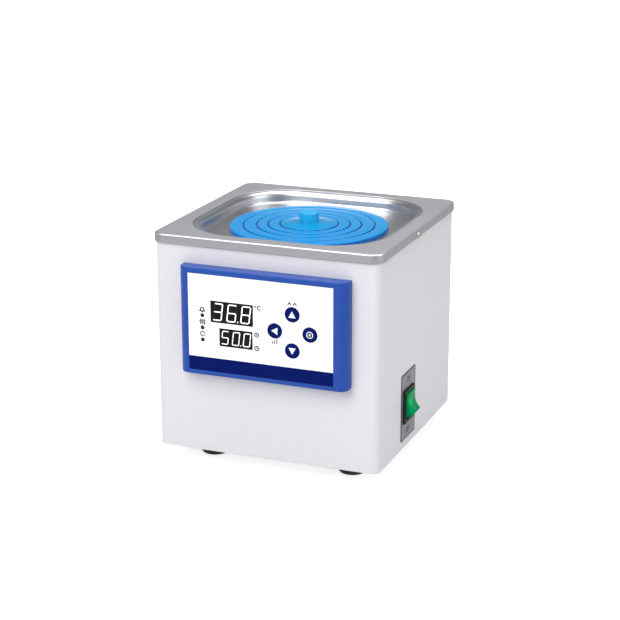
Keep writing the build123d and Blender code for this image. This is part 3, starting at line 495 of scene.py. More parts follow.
def grown(name, host, tree, **inputs):
    """Run a Geometry Nodes tree on a host object, its inputs set by identifier, and give a plain mesh."""
    bpy.context.scene.collection.objects.link(host)
    modifier = host.modifiers.new(name, "NODES")
    modifier.node_group = tree
    for item in tree.interface.items_tree:
        key = item.name.lower().replace(" ", "_")
        if item.in_out == "INPUT" and key in inputs:
            modifier[item.identifier] = inputs.pop(key)
    if inputs:
        raise ValueError(f"no inputs named {list(inputs)}")
    graph = bpy.context.evaluated_depsgraph_get()
    mesh = bpy.data.meshes.new_from_object(host.evaluated_get(graph))
    mesh.name = name
    host.modifiers.remove(modifier)
    bpy.data.objects.remove(host)
    return mesh


def turned(name, section, material, steps=None, rounding_steps=5, x=0.0):
    """Turn a closed section of (radius, height, rounding) in millimetres about an upright axis."""
    curve = bpy.data.curves.new(name, "CURVE")
    curve.dimensions = "3D"
    spline = curve.splines.new("POLY")
    spline.points.add(len(section) - 1)
    for point, (radius, height, rounding) in zip(spline.points, section):
        point.co = (radius * MM, 0, height * MM, 1)
        point.radius = rounding * MM
    spline.use_cyclic_u = True
    mesh = grown(
        name,
        bpy.data.objects.new(name, curve),
        lathe_tree(),
        steps=steps or bpy.context.scene.bath_sizes.lathe_steps,
        rounding_steps=rounding_steps,
        reference_radius=max(point[0] for point in section) * MM,
        finish=material,
    )
    with editing(mesh) as shell:
        bmesh.ops.remove_doubles(shell, verts=shell.verts, dist=1e-6)
        bmesh.ops.dissolve_degenerate(shell, dist=1e-7, edges=shell.edges)
        face_outwards(shell)
    sharp_by_angle(mesh, 40)
    mesh.transform(Matrix.Translation((x, 0, 0)))
    return mesh


def facing_front(mesh, x, y, z):
    """Stand a turned mesh so that its top faces the front, with its foot at a place."""
    mesh.transform(Matrix.Translation((x, y, z)) @ Matrix.Rotation(math.radians(90), 4, "X"))


def flat_marks(shapes, thickness):
    """Flat shapes, each a list of (across, up) in metres, with a small thickness towards the viewer."""
    shell = bmesh.new()
    for shape in shapes:
        prism(shell, [(x, 0, z) for x, z in shape], [(x, -thickness, z) for x, z in shape])
    face_outwards(shell)
    return finished(shell, "marks")


def stroke(points, width):
    """Flat quads along a polyline, one for each run, with square overlaps at the corners."""
    shapes = []
    for start, end in zip(points, points[1:]):
        start, end = Vector(start), Vector(end)
        reach = (end - start).normalized() * width / 2
        side = Vector((-reach.y, reach.x))
        quad = (start - reach + side, start - reach - side, end + reach - side, end + reach + side)
        shapes.append([(point.x, point.y) for point in quad])
    return shapes


def hoop(x, z, radius, width, start=0, end=360, steps=28):
    """Flat pieces of a ring or a part of one."""
    inner, outer = radius - width / 2, radius + width / 2
    rims = [arc(x, z, size, start, end, steps) for size in (inner, outer)]
    return [[rims[0][k], rims[1][k], rims[1][k + 1], rims[0][k + 1]] for k in range(steps)]


def disc(x, z, radius, steps=28):
    """One flat round piece."""
    return [arc(x, z, radius, 0, 360, steps)[:-1]]


class BATH_OT_stage(bpy.types.Operator):
    """Pale floor, soft studio light and the camera at the photograph's angle"""

    bl_idname = "bath.stage"
    bl_label = "Stage"

    def execute(self, context):
        studio = context.scene.bath_studio
        reach, gap_below = 6.0, 0.2 * MM
        floor = bpy.data.meshes.new("floor")
        corners = [(-reach, -reach, 0), (reach, -reach, 0), (reach, reach, 0), (-reach, reach, 0)]
        floor.from_pydata(corners, [], [(0, 1, 2, 3)])
        floor.materials.append(self.floor_finish())
        ground = bpy.data.objects.new("studio_floor", floor)
        ground.location.z = -gap_below
        context.scene.collection.objects.link(ground)
        self.light("key_light", studio.key_power, size=1.6, place=(-0.35, -1.45, 1.35))
        self.light("side_light", studio.side_power, size=1.2, place=(1.7, -0.2, 0.75))
        self.light("top_light", studio.top_power, size=1.4, place=(0.1, 0.2, 1.5))
        self.surroundings(context, studio.surround)
        self.camera(context, studio)
        context.scene.view_settings.view_transform = "Standard"
        return {"FINISHED"}

    def floor_finish(self):
        """White paper, lit from within more and more away from the object, so that it stays white."""
        material, shader = new_material(
            "floor_white", base_color=(0.6, 0.6, 0.605), roughness=0.8, specular_ior_level=0.1,
            emission_strength=1.0,
        )
        near, far = 0.15, 1.0
        for_light, by_the_feet, white = (0.12, 0.12, 0.12), (0.75, 0.75, 0.75), (1.0, 1.0, 1.0)
        tree = material.node_tree
        away = add(tree, "ShaderNodeVectorMath", {0: object_place(tree)}, operation="LENGTH").outputs["Value"]
        share = add(tree, "ShaderNodeMapRange", {"Value": away, "From Min": near, "From Max": far})
        seen = add(tree, "ShaderNodeLightPath").outputs["Is Camera Ray"]
        paper = shade(tree, by_the_feet, white, share.outputs[0])
        tree.links.new(shade(tree, for_light, paper, seen), shader.inputs["Emission Color"])
        return material

    def light(self, name, watts, size, place):
        """A square lamp that points at the middle of the bath."""
        middle = Vector((0, 0, 0.12))
        lamp = bpy.data.lights.new(name, "AREA")
        lamp.energy = watts
        lamp.shape = "SQUARE"
        lamp.size = size
        holder = bpy.data.objects.new(name, lamp)
        holder.location = place
        holder.rotation_euler = (middle - Vector(place)).to_track_quat("-Z", "Y").to_euler()
        bpy.context.scene.collection.objects.link(holder)

    def surroundings(self, context, brightness):
        """White to the camera, and for the light a white horizon under a darker sky."""
        horizon, overhead, overhead_from = (1.0, 1.0, 1.0), (0.44, 0.44, 0.47), 0.3
        world = bpy.data.worlds.new("studio_air")
        context.scene.world = world
        world.use_nodes = True
        tree = world.node_tree
        sky = tree.nodes["Background"]
        height = separated(tree, add(tree, "ShaderNodeTexCoord").outputs["Generated"])[2]
        rise = add(tree, "ShaderNodeMapRange", {"Value": height, "From Min": 0.0, "From Max": overhead_from})
        tone = shade(tree, horizon, overhead, rise.outputs[0])
        tree.links.new(tone, sky.inputs["Color"])
        sky.inputs["Strength"].default_value = brightness
        white = add(tree, "ShaderNodeBackground", {"Color": (1, 1, 1, 1), "Strength": 1.0})
        seen = add(tree, "ShaderNodeLightPath").outputs["Is Camera Ray"]
        both = add(tree, "ShaderNodeMixShader", {0: seen, 1: sky.outputs[0], 2: white.outputs[0]})
        tree.links.new(both.outputs[0], tree.nodes["World Output"].inputs["Surface"])

    def camera(self, context, studio):
        lens = bpy.data.cameras.new("camera")
        lens.lens = studio.lens
        lens.sensor_width = 36
        lens.clip_start = 0.05
        holder = bpy.data.objects.new("camera", lens)
        place = Vector((middle_x + studio.camera_x, studio.camera_y, studio.camera_z))
        target = Vector((middle_x + studio.target_x, 0, studio.target_z))
        aim = (target - place).to_track_quat("-Z", "Y").to_matrix().to_4x4()
        holder.matrix_world = Matrix.Translation(place) @ aim @ Matrix.Rotation(studio.roll, 4, "Z")
        context.scene.collection.objects.link(holder)
        context.scene.camera = holder


class BATH_OT_casing(bpy.types.Operator):
    """Powder coat on the casing, the rear panel and the base"""

    bl_idname = "bath.casing"
    bl_label = "Casing"

    def execute(self, context):
        coat = grained(
            "powder_coat", context.scene.bath_colours.shell, grain=0.0012, cloud=0.12, depth=0.5,
            roughness=(0.36, 0.44), tone=0.97, edge=0.0006, specular_ior_level=0.5,
        )
        paint(coat, "casing", "rear_panel", "base_plate")
        return {"FINISHED"}


class BATH_OT_cover(bpy.types.Operator):
    """Satin steel cover with a rolled edge and a turned-down skirt, its upright faces with painted shade"""

    bl_idname = "bath.cover"
    bl_label = "Cover"

    def execute(self, context):
        tint = tuple(context.scene.bath_colours.cover)
        satin = grained(
            "satin_steel", tint, grain=0.0006, cloud=0.09, depth=0.25, roughness=(0.33, 0.42), tone=0.93,
            metallic=0.9,
        )
        # Painted shade: the cover's upright faces, the skirt among them, are darkened to 0.57 of the steel's
        # colour.
        painted_side_shade(satin, darker(tint, 0.57), upright=0.05, level=0.3)
        mesh = cover_mesh(context.scene.bath_sizes.outline_steps)
        piece("cover_sheet", mesh, satin, "instrument", ["top_cover"])
        return {"FINISHED"}


def cover_mesh(count):
    """Section in millimetres: opening with a soft lip, flat top, rolled edge, and a skirt with its hem."""
    top, low = cover_high.z / MM, cover_low.z / MM
    half = (cover_high.x - cover_low.x) / 2 / MM
    gauge, opening, inner_corner, outer_corner = 1.2, 91.0, 54.0, 11.0
    lip, roll, hem, flat_inset = 0.35, 1.1, 0.3, 4.0
    inner = arc(opening + lip, top - lip, lip, 180, 90, 6)
    outer = arc(half - roll, top - roll, roll, 90, 0, 6)
    section = [(opening, top - gauge, inner_corner)]
    section += [(x, z, inner_corner + x - opening) for x, z in inner]
    section += [(half - flat_inset, top, outer_corner - flat_inset)]
    section += [(x, z, outer_corner - half + x) for x, z in outer]
    section += [
        (half, low + hem, outer_corner),
        (half - hem, low, outer_corner - hem),
        (half - gauge, low, outer_corner - gauge),
        (half - gauge, top - gauge, outer_corner - gauge),
    ]
    return sheet_mesh("cover_sheet", section, count, crisp=30)


class BATH_OT_deck(bpy.types.Operator):
    """Polished deck: shoulder, drafted wall, foot radius, floor and the collar of the hole"""

    bl_idname = "bath.deck"
    bl_label = "Deck"

    def execute(self, context):
        polish = grained(
            "polished_steel", context.scene.bath_colours.deck, grain=0.0012, cloud=0.05, depth=0.008,
            roughness=(0.29, 0.33), tone=0.97, stretch=(1.0, 0.12, 1.0), metallic=1.0,
        )
        mesh = deck_mesh(context.scene.bath_sizes.outline_steps)
        piece("deck_pressing", mesh, polish, "instrument", ["well_deck"])
        return {"FINISHED"}


def deck_mesh(count):
    """Section in millimetres: flange, shoulder, wall, foot radius, floor, collar and underside."""
    top, flange = deck_high.z / MM, (deck_high.x - deck_low.x) / 2 / MM
    gauge, well, floor_corner, shoulder, foot = 1.0, 85.5, 47.58, 5.1, 2.2
    draft = math.radians(5)
    sunk, break_edge, flange_edge, flange_under, collar = 0.8, 0.15, 90.7, 1.8, 4.0

    def wall(z):
        return well - (top - z) * math.tan(draft)

    floor_half = wall(deck_floor)

    def with_corner(points):
        return [(x, z, floor_corner + x - floor_half) for x, z in points]

    upper = arc(wall(top - shoulder) + shoulder / math.cos(draft), top - shoulder, shoulder, 90, 175, 12)
    foot_x = wall(deck_floor + foot) - foot / math.cos(draft)
    lower = arc(foot_x, deck_floor + foot, foot, -5, -90, 12)
    flat_half = lower[-1][0]
    ring = HOLE + gauge
    under = deck_floor - gauge
    floor_rows = [
        (
            flat_half + (ring - flat_half) * share,
            deck_floor,
            (flat_half - floor_half + floor_corner) * (1 - share) + ring * share,
        )
        for share in (step / 6 for step in range(1, 6))
    ]
    section = with_corner([
        (flange, top - sunk), (flange_edge, top - sunk), (flange_edge, top - break_edge),
        (flange_edge - break_edge, top),
    ])
    section += with_corner(upper) + with_corner(lower) + floor_rows
    section += [(x, z, x) for x, z in arc(ring, under, gauge, 90, 180, 6)]
    section += [(HOLE, under - collar, HOLE), (ring, under - collar, ring), (ring, under, ring)]
    section += [(x, z - gauge, r) for x, z, r in reversed(floor_rows)]
    section += with_corner(arc(foot_x, deck_floor + foot, foot + gauge, -90, -5, 8))
    below = top - flange_under
    section += with_corner([(wall(below) + gauge, below), (flange, below)])
    return sheet_mesh("deck_pressing", section, count, crisp=50)


class BATH_OT_tank(bpy.types.Operator):
    """Drawn steel tank with its shelf, heater, probe and insulation"""

    bl_idname = "bath.tank"
    bl_label = "Tank"

    def execute(self, context):
        drawn = grained(
            "drawn_steel", (0.62, 0.62, 0.63), grain=0.0012, cloud=0.05, depth=0.05, roughness=(0.2, 0.32),
            stretch=(1, 1, 0.1), metallic=1.0,
        )
        sheath = grained(
            "heater_sheath", (0.36, 0.35, 0.34), grain=0.0008, cloud=0.02, roughness=(0.25, 0.4), metallic=1.0
        )
        brass = grained(
            "turned_brass", (0.62, 0.45, 0.17), grain=0.0006, cloud=0.01, roughness=(0.2, 0.35), metallic=1.0,
            edge=0.0002,
        )
        wool = grained(
            "insulation_wool", (0.68, 0.65, 0.56), grain=0.0018, cloud=0.02, depth=0.9,
            roughness=(0.85, 0.95), detail=6.0, tone=0.8,
        )
        paint(drawn, "tank", "shelf", "temperature_probe")
        paint(sheath, "heater_element")
        paint(brass, "heater_bushings", "probe_gland")
        paint(wool, "tank_insulation")
        return {"FINISHED"}


RING_NAMES = ("ring_outer", "ring_second", "ring_third", "ring_fourth")
RING_PLAY = 0.8
RING_TOP = 3.3
RING_STEP = 0.25
LEDGE = 2.4
FLANGE = 2.65
LEDGE_WIDTH = 4.0
LEDGE_GAUGE = 2.0
COLLAR_INSET = 4.0
COLLAR_WALL = 1.6
COLLAR_DEPTH = 2.6
HOLE_COLLAR_DEPTH = 4.0
# Painted shade: deeper blues for the rings' sideways faces, in the grooves and round the outer ring's rim.
GROOVE_SHADE = (0.003, 0.045, 0.33)
RIM_SHADE = (0.004, 0.13, 0.48)


def edge_radius(name):
    """Outer radius of a round node of the frame, in millimetres."""
    low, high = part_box(name)
    return (high.x - low.x) / 2 / MM


def ring_finish(name, tint, side=GROOVE_SHADE):
    """Glossy blue plastic with painted shade: its faces that look sideways, as into a groove, take a deeper
    blue.
    """
    material = grained(
        name, tint, grain=0.0016, cloud=0.03, depth=0.02, roughness=(0.19, 0.22), tone=0.98,
        specular_ior_level=0.2,
    )
    painted_side_shade(material, side, upright=0.2, level=0.95)
    return material


class BATH_OT_rings(bpy.types.Operator):
    """Four nested reducing rings, each resting on the ledge of the next larger one"""

    bl_idname = "bath.rings"
    bl_label = "Reducing rings"

    def execute(self, context):
        tint = context.scene.bath_colours.ring
        # The outer ring's sideways faces get the rim's painted shade, the other rings get the grooves'
        # painted shade.
        finishes = [ring_finish("outer_ring_plastic", tint, RIM_SHADE)] + [ring_finish("ring_plastic", tint)] * 3
        soft = context.scene.bath_sizes.ring_rounding / MM
        for index, name in enumerate(RING_NAMES):
            mesh = turned(name + "_turned", ring_section(index, soft), finishes[index], x=middle_x)
            piece(name + "_turned", mesh, None, name, [name])
        return {"FINISHED"}


def ring_section(index, soft):
    """Section of one ring: (radius, height, rounding), the same steps as the frame's ring."""
    top = deck_floor + RING_TOP + index * RING_STEP
    edge = edge_radius(RING_NAMES[index])
    seat = edge_radius((*RING_NAMES, "centre_lid")[index + 1]) + RING_PLAY
    bore, ledge = seat - LEDGE_WIDTH, top - LEDGE
    below = ledge - LEDGE_GAUGE
    upper = [(bore, ledge, 0.2), (seat, ledge, 0.2), (seat, top, soft), (edge, top, soft)]
    if index == 0:
        outer, foot = HOLE - RING_PLAY, deck_floor - HOLE_COLLAR_DEPTH
        inner = outer - COLLAR_WALL
        return upper + [
            (edge, deck_floor, 0.1), (outer, deck_floor, 0.3), (outer, foot, 0.4), (inner, foot, 0.4),
            (inner, below, 0.3), (bore, below, 0.2),
        ]
    under, wall = top - FLANGE, seat + LEDGE_GAUGE
    return upper + [(edge, under, 0.2), *collar_section(edge, under, 0.4)] + [
        (wall, under, 0.1), (wall, below, 0.3), (bore, below, 0.3),
    ]


def collar_section(edge, under, soft):
    """The collar that locates a ring or the lid in the next larger ring."""
    outer = edge - COLLAR_INSET
    inner, foot = outer - COLLAR_WALL, under - COLLAR_DEPTH
    return [(outer, under, 0.1), (outer, foot, soft), (inner, foot, soft), (inner, under, 0.1)]


class BATH_OT_lid(bpy.types.Operator):
    """Crowned centre lid with its turned knob"""

    bl_idname = "bath.lid"
    bl_label = "Centre lid"

    def execute(self, context):
        # The lid's sideways faces get the grooves' painted shade as well.
        finish = ring_finish("lid_plastic", context.scene.bath_colours.lid)
        soft = context.scene.bath_sizes.ring_rounding / MM
        crown, bore, boss, dome_start, rim, knob_radius = 1.9, 1.55, 8.0, 9.3, 0.9, 8.9
        low, high = knob_low.z / MM, knob_high.z / MM
        top = low - crown
        under = top - FLANGE
        edge = edge_radius("centre_lid")
        dome_width = edge - rim - dome_start
        dome = [
            (dome_start + dome_width * share, top + crown * (1 - share) ** 0.9, 0)
            for share in (0.15, 0.3, 0.45, 0.6, 0.75, 0.9)
        ]
        section = [(bore, under, 0), (bore, low, 0), (boss, low, 0), (dome_start, low - 0.05, 0)] + dome
        section += [(edge, top, soft * 0.8), (edge, under, 0.2), *collar_section(edge, under, 0.3)]
        lid = turned("centre_lid_turned", section, finish, x=middle_x)
        piece("centre_lid_turned", lid, None, "centre_lid", ["centre_lid"])
        bright = grained(
            "knob_plastic", context.scene.bath_colours.knob, grain=0.0016, cloud=0.03, depth=0.02,
            roughness=(0.2, 0.26), tone=0.98, specular_ior_level=0.4,
        )
        section = [(0, low, 0), (knob_radius, low, 0), (knob_radius, high, 1.0), (0, high, 0)]
        knob = turned("lid_knob_turned", section, bright, rounding_steps=6, x=middle_x)
        piece("lid_knob_turned", knob, None, "centre_lid", ["lid_knob"])
        return {"FINISHED"}


class BATH_OT_panel(bpy.types.Operator):
    """Moulded blue housing and the printed film with its dark band"""

    bl_idname = "bath.panel"
    bl_label = "Control panel"

    def execute(self, context):
        colours = context.scene.bath_colours
        moulded = grained(
            "housing_plastic", colours.housing, grain=0.0009, cloud=0.05, depth=0.06, roughness=(0.27, 0.34),
            tone=0.95, edge=0.0009, specular_ior_level=0.3,
        )
        film = grained(
            "panel_film", colours.film, grain=0.0007, cloud=0.08, depth=0.04, roughness=(0.3, 0.36),
            tone=0.99, specular_ior_level=0.05,
        )
        band_height, past_edges = 12.3 * MM, 0.2
        foot = ((overlay_low.x + overlay_high.x) / 2, overlay_low.z)
        mask = rectangle_mask(film.node_tree, 0, foot, past_edges, band_height)
        repaint(film, mask, high=tuple(colours.band))
        paint(moulded, "panel_housing")
        paint(film, "panel_overlay")
        return {"FINISHED"}


def middle_of(name):
    """Middle of a node of the frame."""
    low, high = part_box(name)
    return (low + high) / 2


class BATH_OT_marks(bpy.types.Operator):
    """Small printed pictures beside the lamps, displays and keys"""

    bl_idname = "bath.marks"
    bl_label = "Printed marks"

    def execute(self, context):
        ink = grained(
            "printing_ink", context.scene.bath_colours.ink, grain=0.0005, cloud=0.01, depth=0.02,
            specular_ior_level=0.15,
        )
        over_lamp, over_key, under_key = 5.2 * MM, 3.0 * MM, 3.2 * MM
        shapes = []
        for number, draw in enumerate((bell, waves, cycle), start=1):
            lamp = middle_of(f"indicator_lamp_{number}")
            shapes += draw(lamp.x, lamp.z + over_lamp)
        beside, down = 2.4 * MM, 1.9 * MM
        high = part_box("pv_display")[1]
        shapes += degrees_mark(high.x + beside, high.z - down)
        beside, down, up = 4.0 * MM, 2.0 * MM, 1.8 * MM
        low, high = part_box("sv_display")
        shapes += target_mark(high.x + beside, high.z - down) + clock_mark(high.x + beside, low.z + up)
        shapes += double_arrow(middle_of("key_up").x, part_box("key_up")[1].z + over_key)
        shapes += bars(middle_of("key_left").x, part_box("key_left")[0].z - under_key)
        mesh = flat_marks(shapes, context.scene.bath_sizes.ink_thickness)
        mesh.transform(Matrix.Translation((0, overlay_low.y, 0)))
        piece("panel_marks", mesh, ink, "instrument", smooth=False)
        return {"FINISHED"}


MARK = 1.25 * MM
LINE = 0.75 * MARK


def marked(x, z, points):
    """Points in mark units round a place."""
    return [(x + a * MARK, z + b * MARK) for a, b in points]


def bell(x, z):
    half = [(-1.9, -1.1), (-1.3, -0.5), (-1.2, 0.7), (-0.5, 1.4)]
    body = half + [(-a, b) for a, b in reversed(half)] + half[:1]
    return stroke(marked(x, z, body), LINE) + disc(x, z - 1.7 * MARK, 0.6 * MARK, 10)


def waves(x, z):
    shapes = []
    for shift in (-1.5, 0, 1.5):
        line = [(shift + 0.4 * math.sin(k * 1.05), -1.6 + 0.4 * k) for k in range(9)]
        shapes += stroke(marked(x, z, line), LINE)
    return shapes


def cycle(x, z):
    tip = marked(x, z, [(1.0, 0.1), (2.3, 0.1), (1.65, -1.1)])
    return hoop(x, z, 1.6 * MARK, LINE, 20, 320, 16) + [tip]


def degrees_mark(x, z):
    """The sign for degrees beside the upper display."""
    letter = hoop(x + 2.9 * MARK, z, 1.35 * MARK, LINE, 50, 310, 14)
    return hoop(x, z + 0.8 * MARK, 0.55 * MARK, 0.5 * MARK, steps=12) + letter


def target_mark(x, z):
    return hoop(x, z, 1.45 * MARK, LINE, steps=16) + disc(x, z, 0.6 * MARK, 12)


def clock_mark(x, z):
    hands = stroke(marked(x, z, [(0, 0.8), (0, 0), (0.6, 0)]), 0.5 * MARK)
    return hoop(x, z, 1.5 * MARK, LINE, steps=16) + hands


def double_arrow(x, z):
    shapes = []
    for shift in (-1.9, 1.9):
        shapes += stroke(marked(x, z, [(shift - 1.1, -0.7), (shift, 0.7), (shift + 1.1, -0.7)]), LINE)
    return shapes


def bars(x, z):
    shapes = []
    for k in range(3):
        across, foot = (k - 1) * 1.5, -1.1
        shapes += stroke(marked(x, z, [(across, foot), (across, foot + 1.0 + 0.9 * k)]), LINE)
    return shapes


SEGMENTS = {
    "0": "abcdef", "1": "bc", "2": "abged", "3": "abgcd", "4": "fgbc", "5": "afgcd", "6": "afgedc",
    "7": "abc", "8": "abcdefg", "9": "abcdfg",
}


class BATH_OT_displays(bpy.types.Operator):
    """Dark displays with lit and unlit segments"""

    bl_idname = "bath.displays"
    bl_label = "Displays"

    measured: StringProperty(name="Measured", description="Upper number, in tenths", default="368")
    wanted: StringProperty(name="Wanted", description="Lower number, in tenths", default="500")

    def execute(self, context):
        glass = grained(
            "display_glass", (0.004, 0.003, 0.003), cloud=0.03, depth=0.01, roughness=(0.12, 0.18),
            edge=0.0002, specular_ior_level=0.15,
        )
        paint(glass, "pv_display", "sv_display")
        lit, shader = new_material(
            "segment_lit", base_color=(0.9, 0.9, 0.92), roughness=0.4, emission_strength=0.55
        )
        glow_unevenly(lit, shader, (0.93, 0.95, 1.0))
        unlit = grained(
            "segment_dark", (0.04, 0.016, 0.005), grain=0.0008, depth=0.02, roughness=(0.3, 0.4),
            specular_ior_level=0.1,
        )
        for node, digits, height, pitch, width in (
            ("pv_display", self.measured, 14.6, 12.9, 7.6),
            ("sv_display", self.wanted, 11.4, 10.1, 5.9),
        ):
            mesh = digit_mesh(context, node, digits, height * MM, pitch * MM, width * MM, lit, unlit)
            piece(node + "_digits", mesh, None, "instrument", smooth=False)
        return {"FINISHED"}


def glow_unevenly(material, shader, tint):
    """Light that is a little uneven, in slow clouds."""
    tree = material.node_tree
    grain = add(tree, "ShaderNodeGroup", {"Cloud Size": 0.004}, node_tree=grain_group())
    uneven = shade(tree, darker(tint, 0.85), tint, grain.outputs["Cloud"])
    tree.links.new(uneven, shader.inputs["Emission Color"])


def attribute(tree, label, kind="FLOAT"):
    """A named value of each point."""
    return add(tree, "GeometryNodeInputNamedAttribute", {"Name": label}, data_type=kind).outputs[0]


@built_once("Display Segments")
def segment_tree(name):
    """Geometry Nodes that put a six-sided bar on each point, turned and sized by the point's values."""
    tree, pick, result = group_tree(
        name,
        "GeometryNodeTree",
        {
            "Points": "Geometry", "Bar Width": 0.0015, "Thickness": 0.00005, "Slant": 0.12, "Baseline": 0.0,
            "Lit": "Material", "Unlit": "Material",
        },
        {"Geometry": "Geometry"},
    )
    tip_width = 1.1547
    place = separated(tree, add(tree, "GeometryNodeInputPosition").outputs[0])
    shape = combined(tree, maths(tree, "SIGN", place[0]), 0.0, maths(tree, "MULTIPLY", place[1], tip_width))
    bar = add(tree, "GeometryNodeMeshCircle", {"Vertices": 6, "Radius": 1.0}, fill_type="NGON").outputs[0]
    unit = add(tree, "GeometryNodeSetPosition", {"Geometry": bar, "Position": shape}).outputs[0]
    half = maths(tree, "MULTIPLY", pick["Bar Width"], 0.5)
    copies = add(
        tree,
        "GeometryNodeInstanceOnPoints",
        {
            "Points": add(tree, "GeometryNodeMeshToPoints", {"Mesh": pick["Points"]}).outputs[0],
            "Instance": unit,
            "Rotation": combined(tree, 0.0, attribute(tree, "turn")),
            "Scale": combined(tree, attribute(tree, "reach"), 1.0, half),
        },
    )
    solid = add(tree, "GeometryNodeRealizeInstances", {0: copies.outputs[0]}).outputs[0]
    forward = {"Mesh": solid, "Offset": (0, -1, 0), "Offset Scale": pick["Thickness"], "Individual": False}
    thick = add(tree, "GeometryNodeExtrudeMesh", forward).outputs[0]
    lean = maths(tree, "MULTIPLY", maths(tree, "SUBTRACT", place[2], pick["Baseline"]), pick["Slant"])
    slanted = {"Geometry": thick, "Offset": combined(tree, lean)}
    leaned = add(tree, "GeometryNodeSetPosition", slanted).outputs[0]
    dark = add(tree, "GeometryNodeSetMaterial", {"Geometry": leaned, "Material": pick["Unlit"]}).outputs[0]
    choice = {"Geometry": dark, "Selection": attribute(tree, "on"), "Material": pick["Lit"]}
    tree.links.new(add(tree, "GeometryNodeSetMaterial", choice).outputs[0], result["Geometry"])
    return tree


BAR_SHARE = 0.135
POINT_SHARE = 0.82
TIP_GAP_ACROSS = 0.35
TIP_GAP_UP = 0.3


def digit_mesh(context, node, digits, height, pitch, width, lit, unlit):
    """Seven segments and a point for each digit of a display."""
    low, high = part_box(node)
    bar = width * BAR_SHARE
    across, up = width / 2, height / 4
    reaches = across - bar * TIP_GAP_ACROSS, up - bar * TIP_GAP_UP
    middle = (low.z + high.z) / 2
    start = (low.x + high.x) / 2 - pitch * (len(digits) - 1) / 2
    spots = {
        "a": (0, 2 * up, 0), "g": (0, 0, 0), "d": (0, -2 * up, 0), "f": (-across, up, 1),
        "b": (across, up, 1), "e": (-across, -up, 1), "c": (across, -up, 1),
    }
    rows = []
    for index, digit in enumerate(digits):
        x = start + index * pitch
        for letter, (dx, dz, upright) in spots.items():
            place, on = (x + dx, low.y, middle + dz), float(letter in SEGMENTS[digit])
            rows.append((place, math.pi / 2 * upright, reaches[upright], on))
        place, on = (x + width * POINT_SHARE, low.y, middle - height / 2), float(index == 1)
        rows.append((place, 0.0, bar * 0.5, on))
    points = bpy.data.meshes.new(node + "_points")
    points.from_pydata([row[0] for row in rows], [], [])
    for column, label in enumerate(("turn", "reach", "on"), start=1):
        values = points.attributes.new(label, "FLOAT", "POINT").data
        values.foreach_set("value", [row[column] for row in rows])
    slant = math.tan(context.scene.bath_sizes.digit_slant)
    mesh = grown(
        node + "_digits", bpy.data.objects.new(node + "_points", points), segment_tree(), bar_width=bar,
        thickness=0.06 * MM, slant=slant, baseline=middle, lit=lit, unlit=unlit,
    )
    with editing(mesh) as shell:
        face_outwards(shell)
    return mesh


class BATH_OT_lamps(bpy.types.Operator):
    """Three dark round indicator lamps"""

    bl_idname = "bath.lamps"
    bl_label = "Indicator lamps"

    def execute(self, context):
        lens = grained(
            "lamp_lens", (0.006, 0.005, 0.005), grain=0.0006, cloud=0.004, depth=0.02, roughness=(0.12, 0.2),
            specular_ior_level=0.25,
        )
        radius, rim, shoulder, shoulder_up, crown = 1.75, 0.25, 1.3, 0.45, 0.5
        section = [(0, 0, 0), (radius, 0, 0), (radius, rim, 0.1), (shoulder, shoulder_up, 0.5), (0, crown, 0)]
        for number in (1, 2, 3):
            lamp = middle_of(f"indicator_lamp_{number}")
            dome = turned(f"lamp_{number}", section, lens, steps=40)
            facing_front(dome, lamp.x, overlay_low.y, lamp.z)
            piece(f"lamp_{number}_lens", dome, None, "instrument")
            paint(lens, f"indicator_lamp_{number}")
        return {"FINISHED"}


CAP_HEIGHT = 1.27
STEM_LENGTH = 6.2
STEM_RADIUS = 2.4


class BATH_OT_keys(bpy.types.Operator):
    """Four round keys, each with its printed sign"""

    bl_idname = "bath.keys"
    bl_label = "Keys"

    def execute(self, context):
        cap = grained(
            "key_plastic", context.scene.bath_colours.band, grain=0.0006, cloud=0.01, depth=0.05,
            roughness=(0.32, 0.4), specular_ior_level=0.06,
        )
        white = grained(
            "key_sign", (0.86, 0.87, 0.9), grain=0.0005, cloud=0.01, depth=0.02, roughness=(0.35, 0.45)
        )
        ink = context.scene.bath_sizes.ink_thickness
        stem = [(0, -STEM_LENGTH, 0), (STEM_RADIUS, -STEM_LENGTH, 0.2), (STEM_RADIUS, 0, 0), (0, 0, 0)]
        for name in ("key_up", "key_left", "key_down", "key_set"):
            low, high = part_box(name)
            x, z = (low.x + high.x) / 2, (low.z + high.z) / 2
            radius = (high.x - low.x) / 2 / MM
            section = [(0, 0, 0), (radius, 0, 0), (radius, CAP_HEIGHT, 0.35), (0, CAP_HEIGHT, 0)]
            joined = turned("key_cap", section, cap, steps=72, rounding_steps=4)
            with editing(joined) as shell:
                shell.from_mesh(turned("key_stem", stem, cap, steps=32, rounding_steps=2))
            facing_front(joined, x, low.y + ink + CAP_HEIGHT * MM, z)
            piece(name + "_cap", joined, None, name, [name])
            marks = flat_marks(key_sign(name, x, z), ink)
            marks.transform(Matrix.Translation((0, low.y + ink, 0)))
            piece(name + "_sign", marks, white, name, smooth=False)
        return {"FINISHED"}


def key_sign(name, x, z):
    """A triangle that points the key's way, or a ring with a dot."""
    if name == "key_set":
        radius, line, dot = 2.7 * MM, 0.75 * MM, 0.95 * MM
        return hoop(x, z, radius, line, steps=32) + disc(x, z, dot, 20)
    turn = math.radians({"key_up": 0, "key_left": 90, "key_down": 180}[name])
    tips = [(0, 3.1), (-3.3, -2.7), (3.3, -2.7)]
    across, up = math.cos(turn) * MM, math.sin(turn) * MM
    return [[(x + a * across - b * up, z + a * up + b * across) for a, b in tips]]


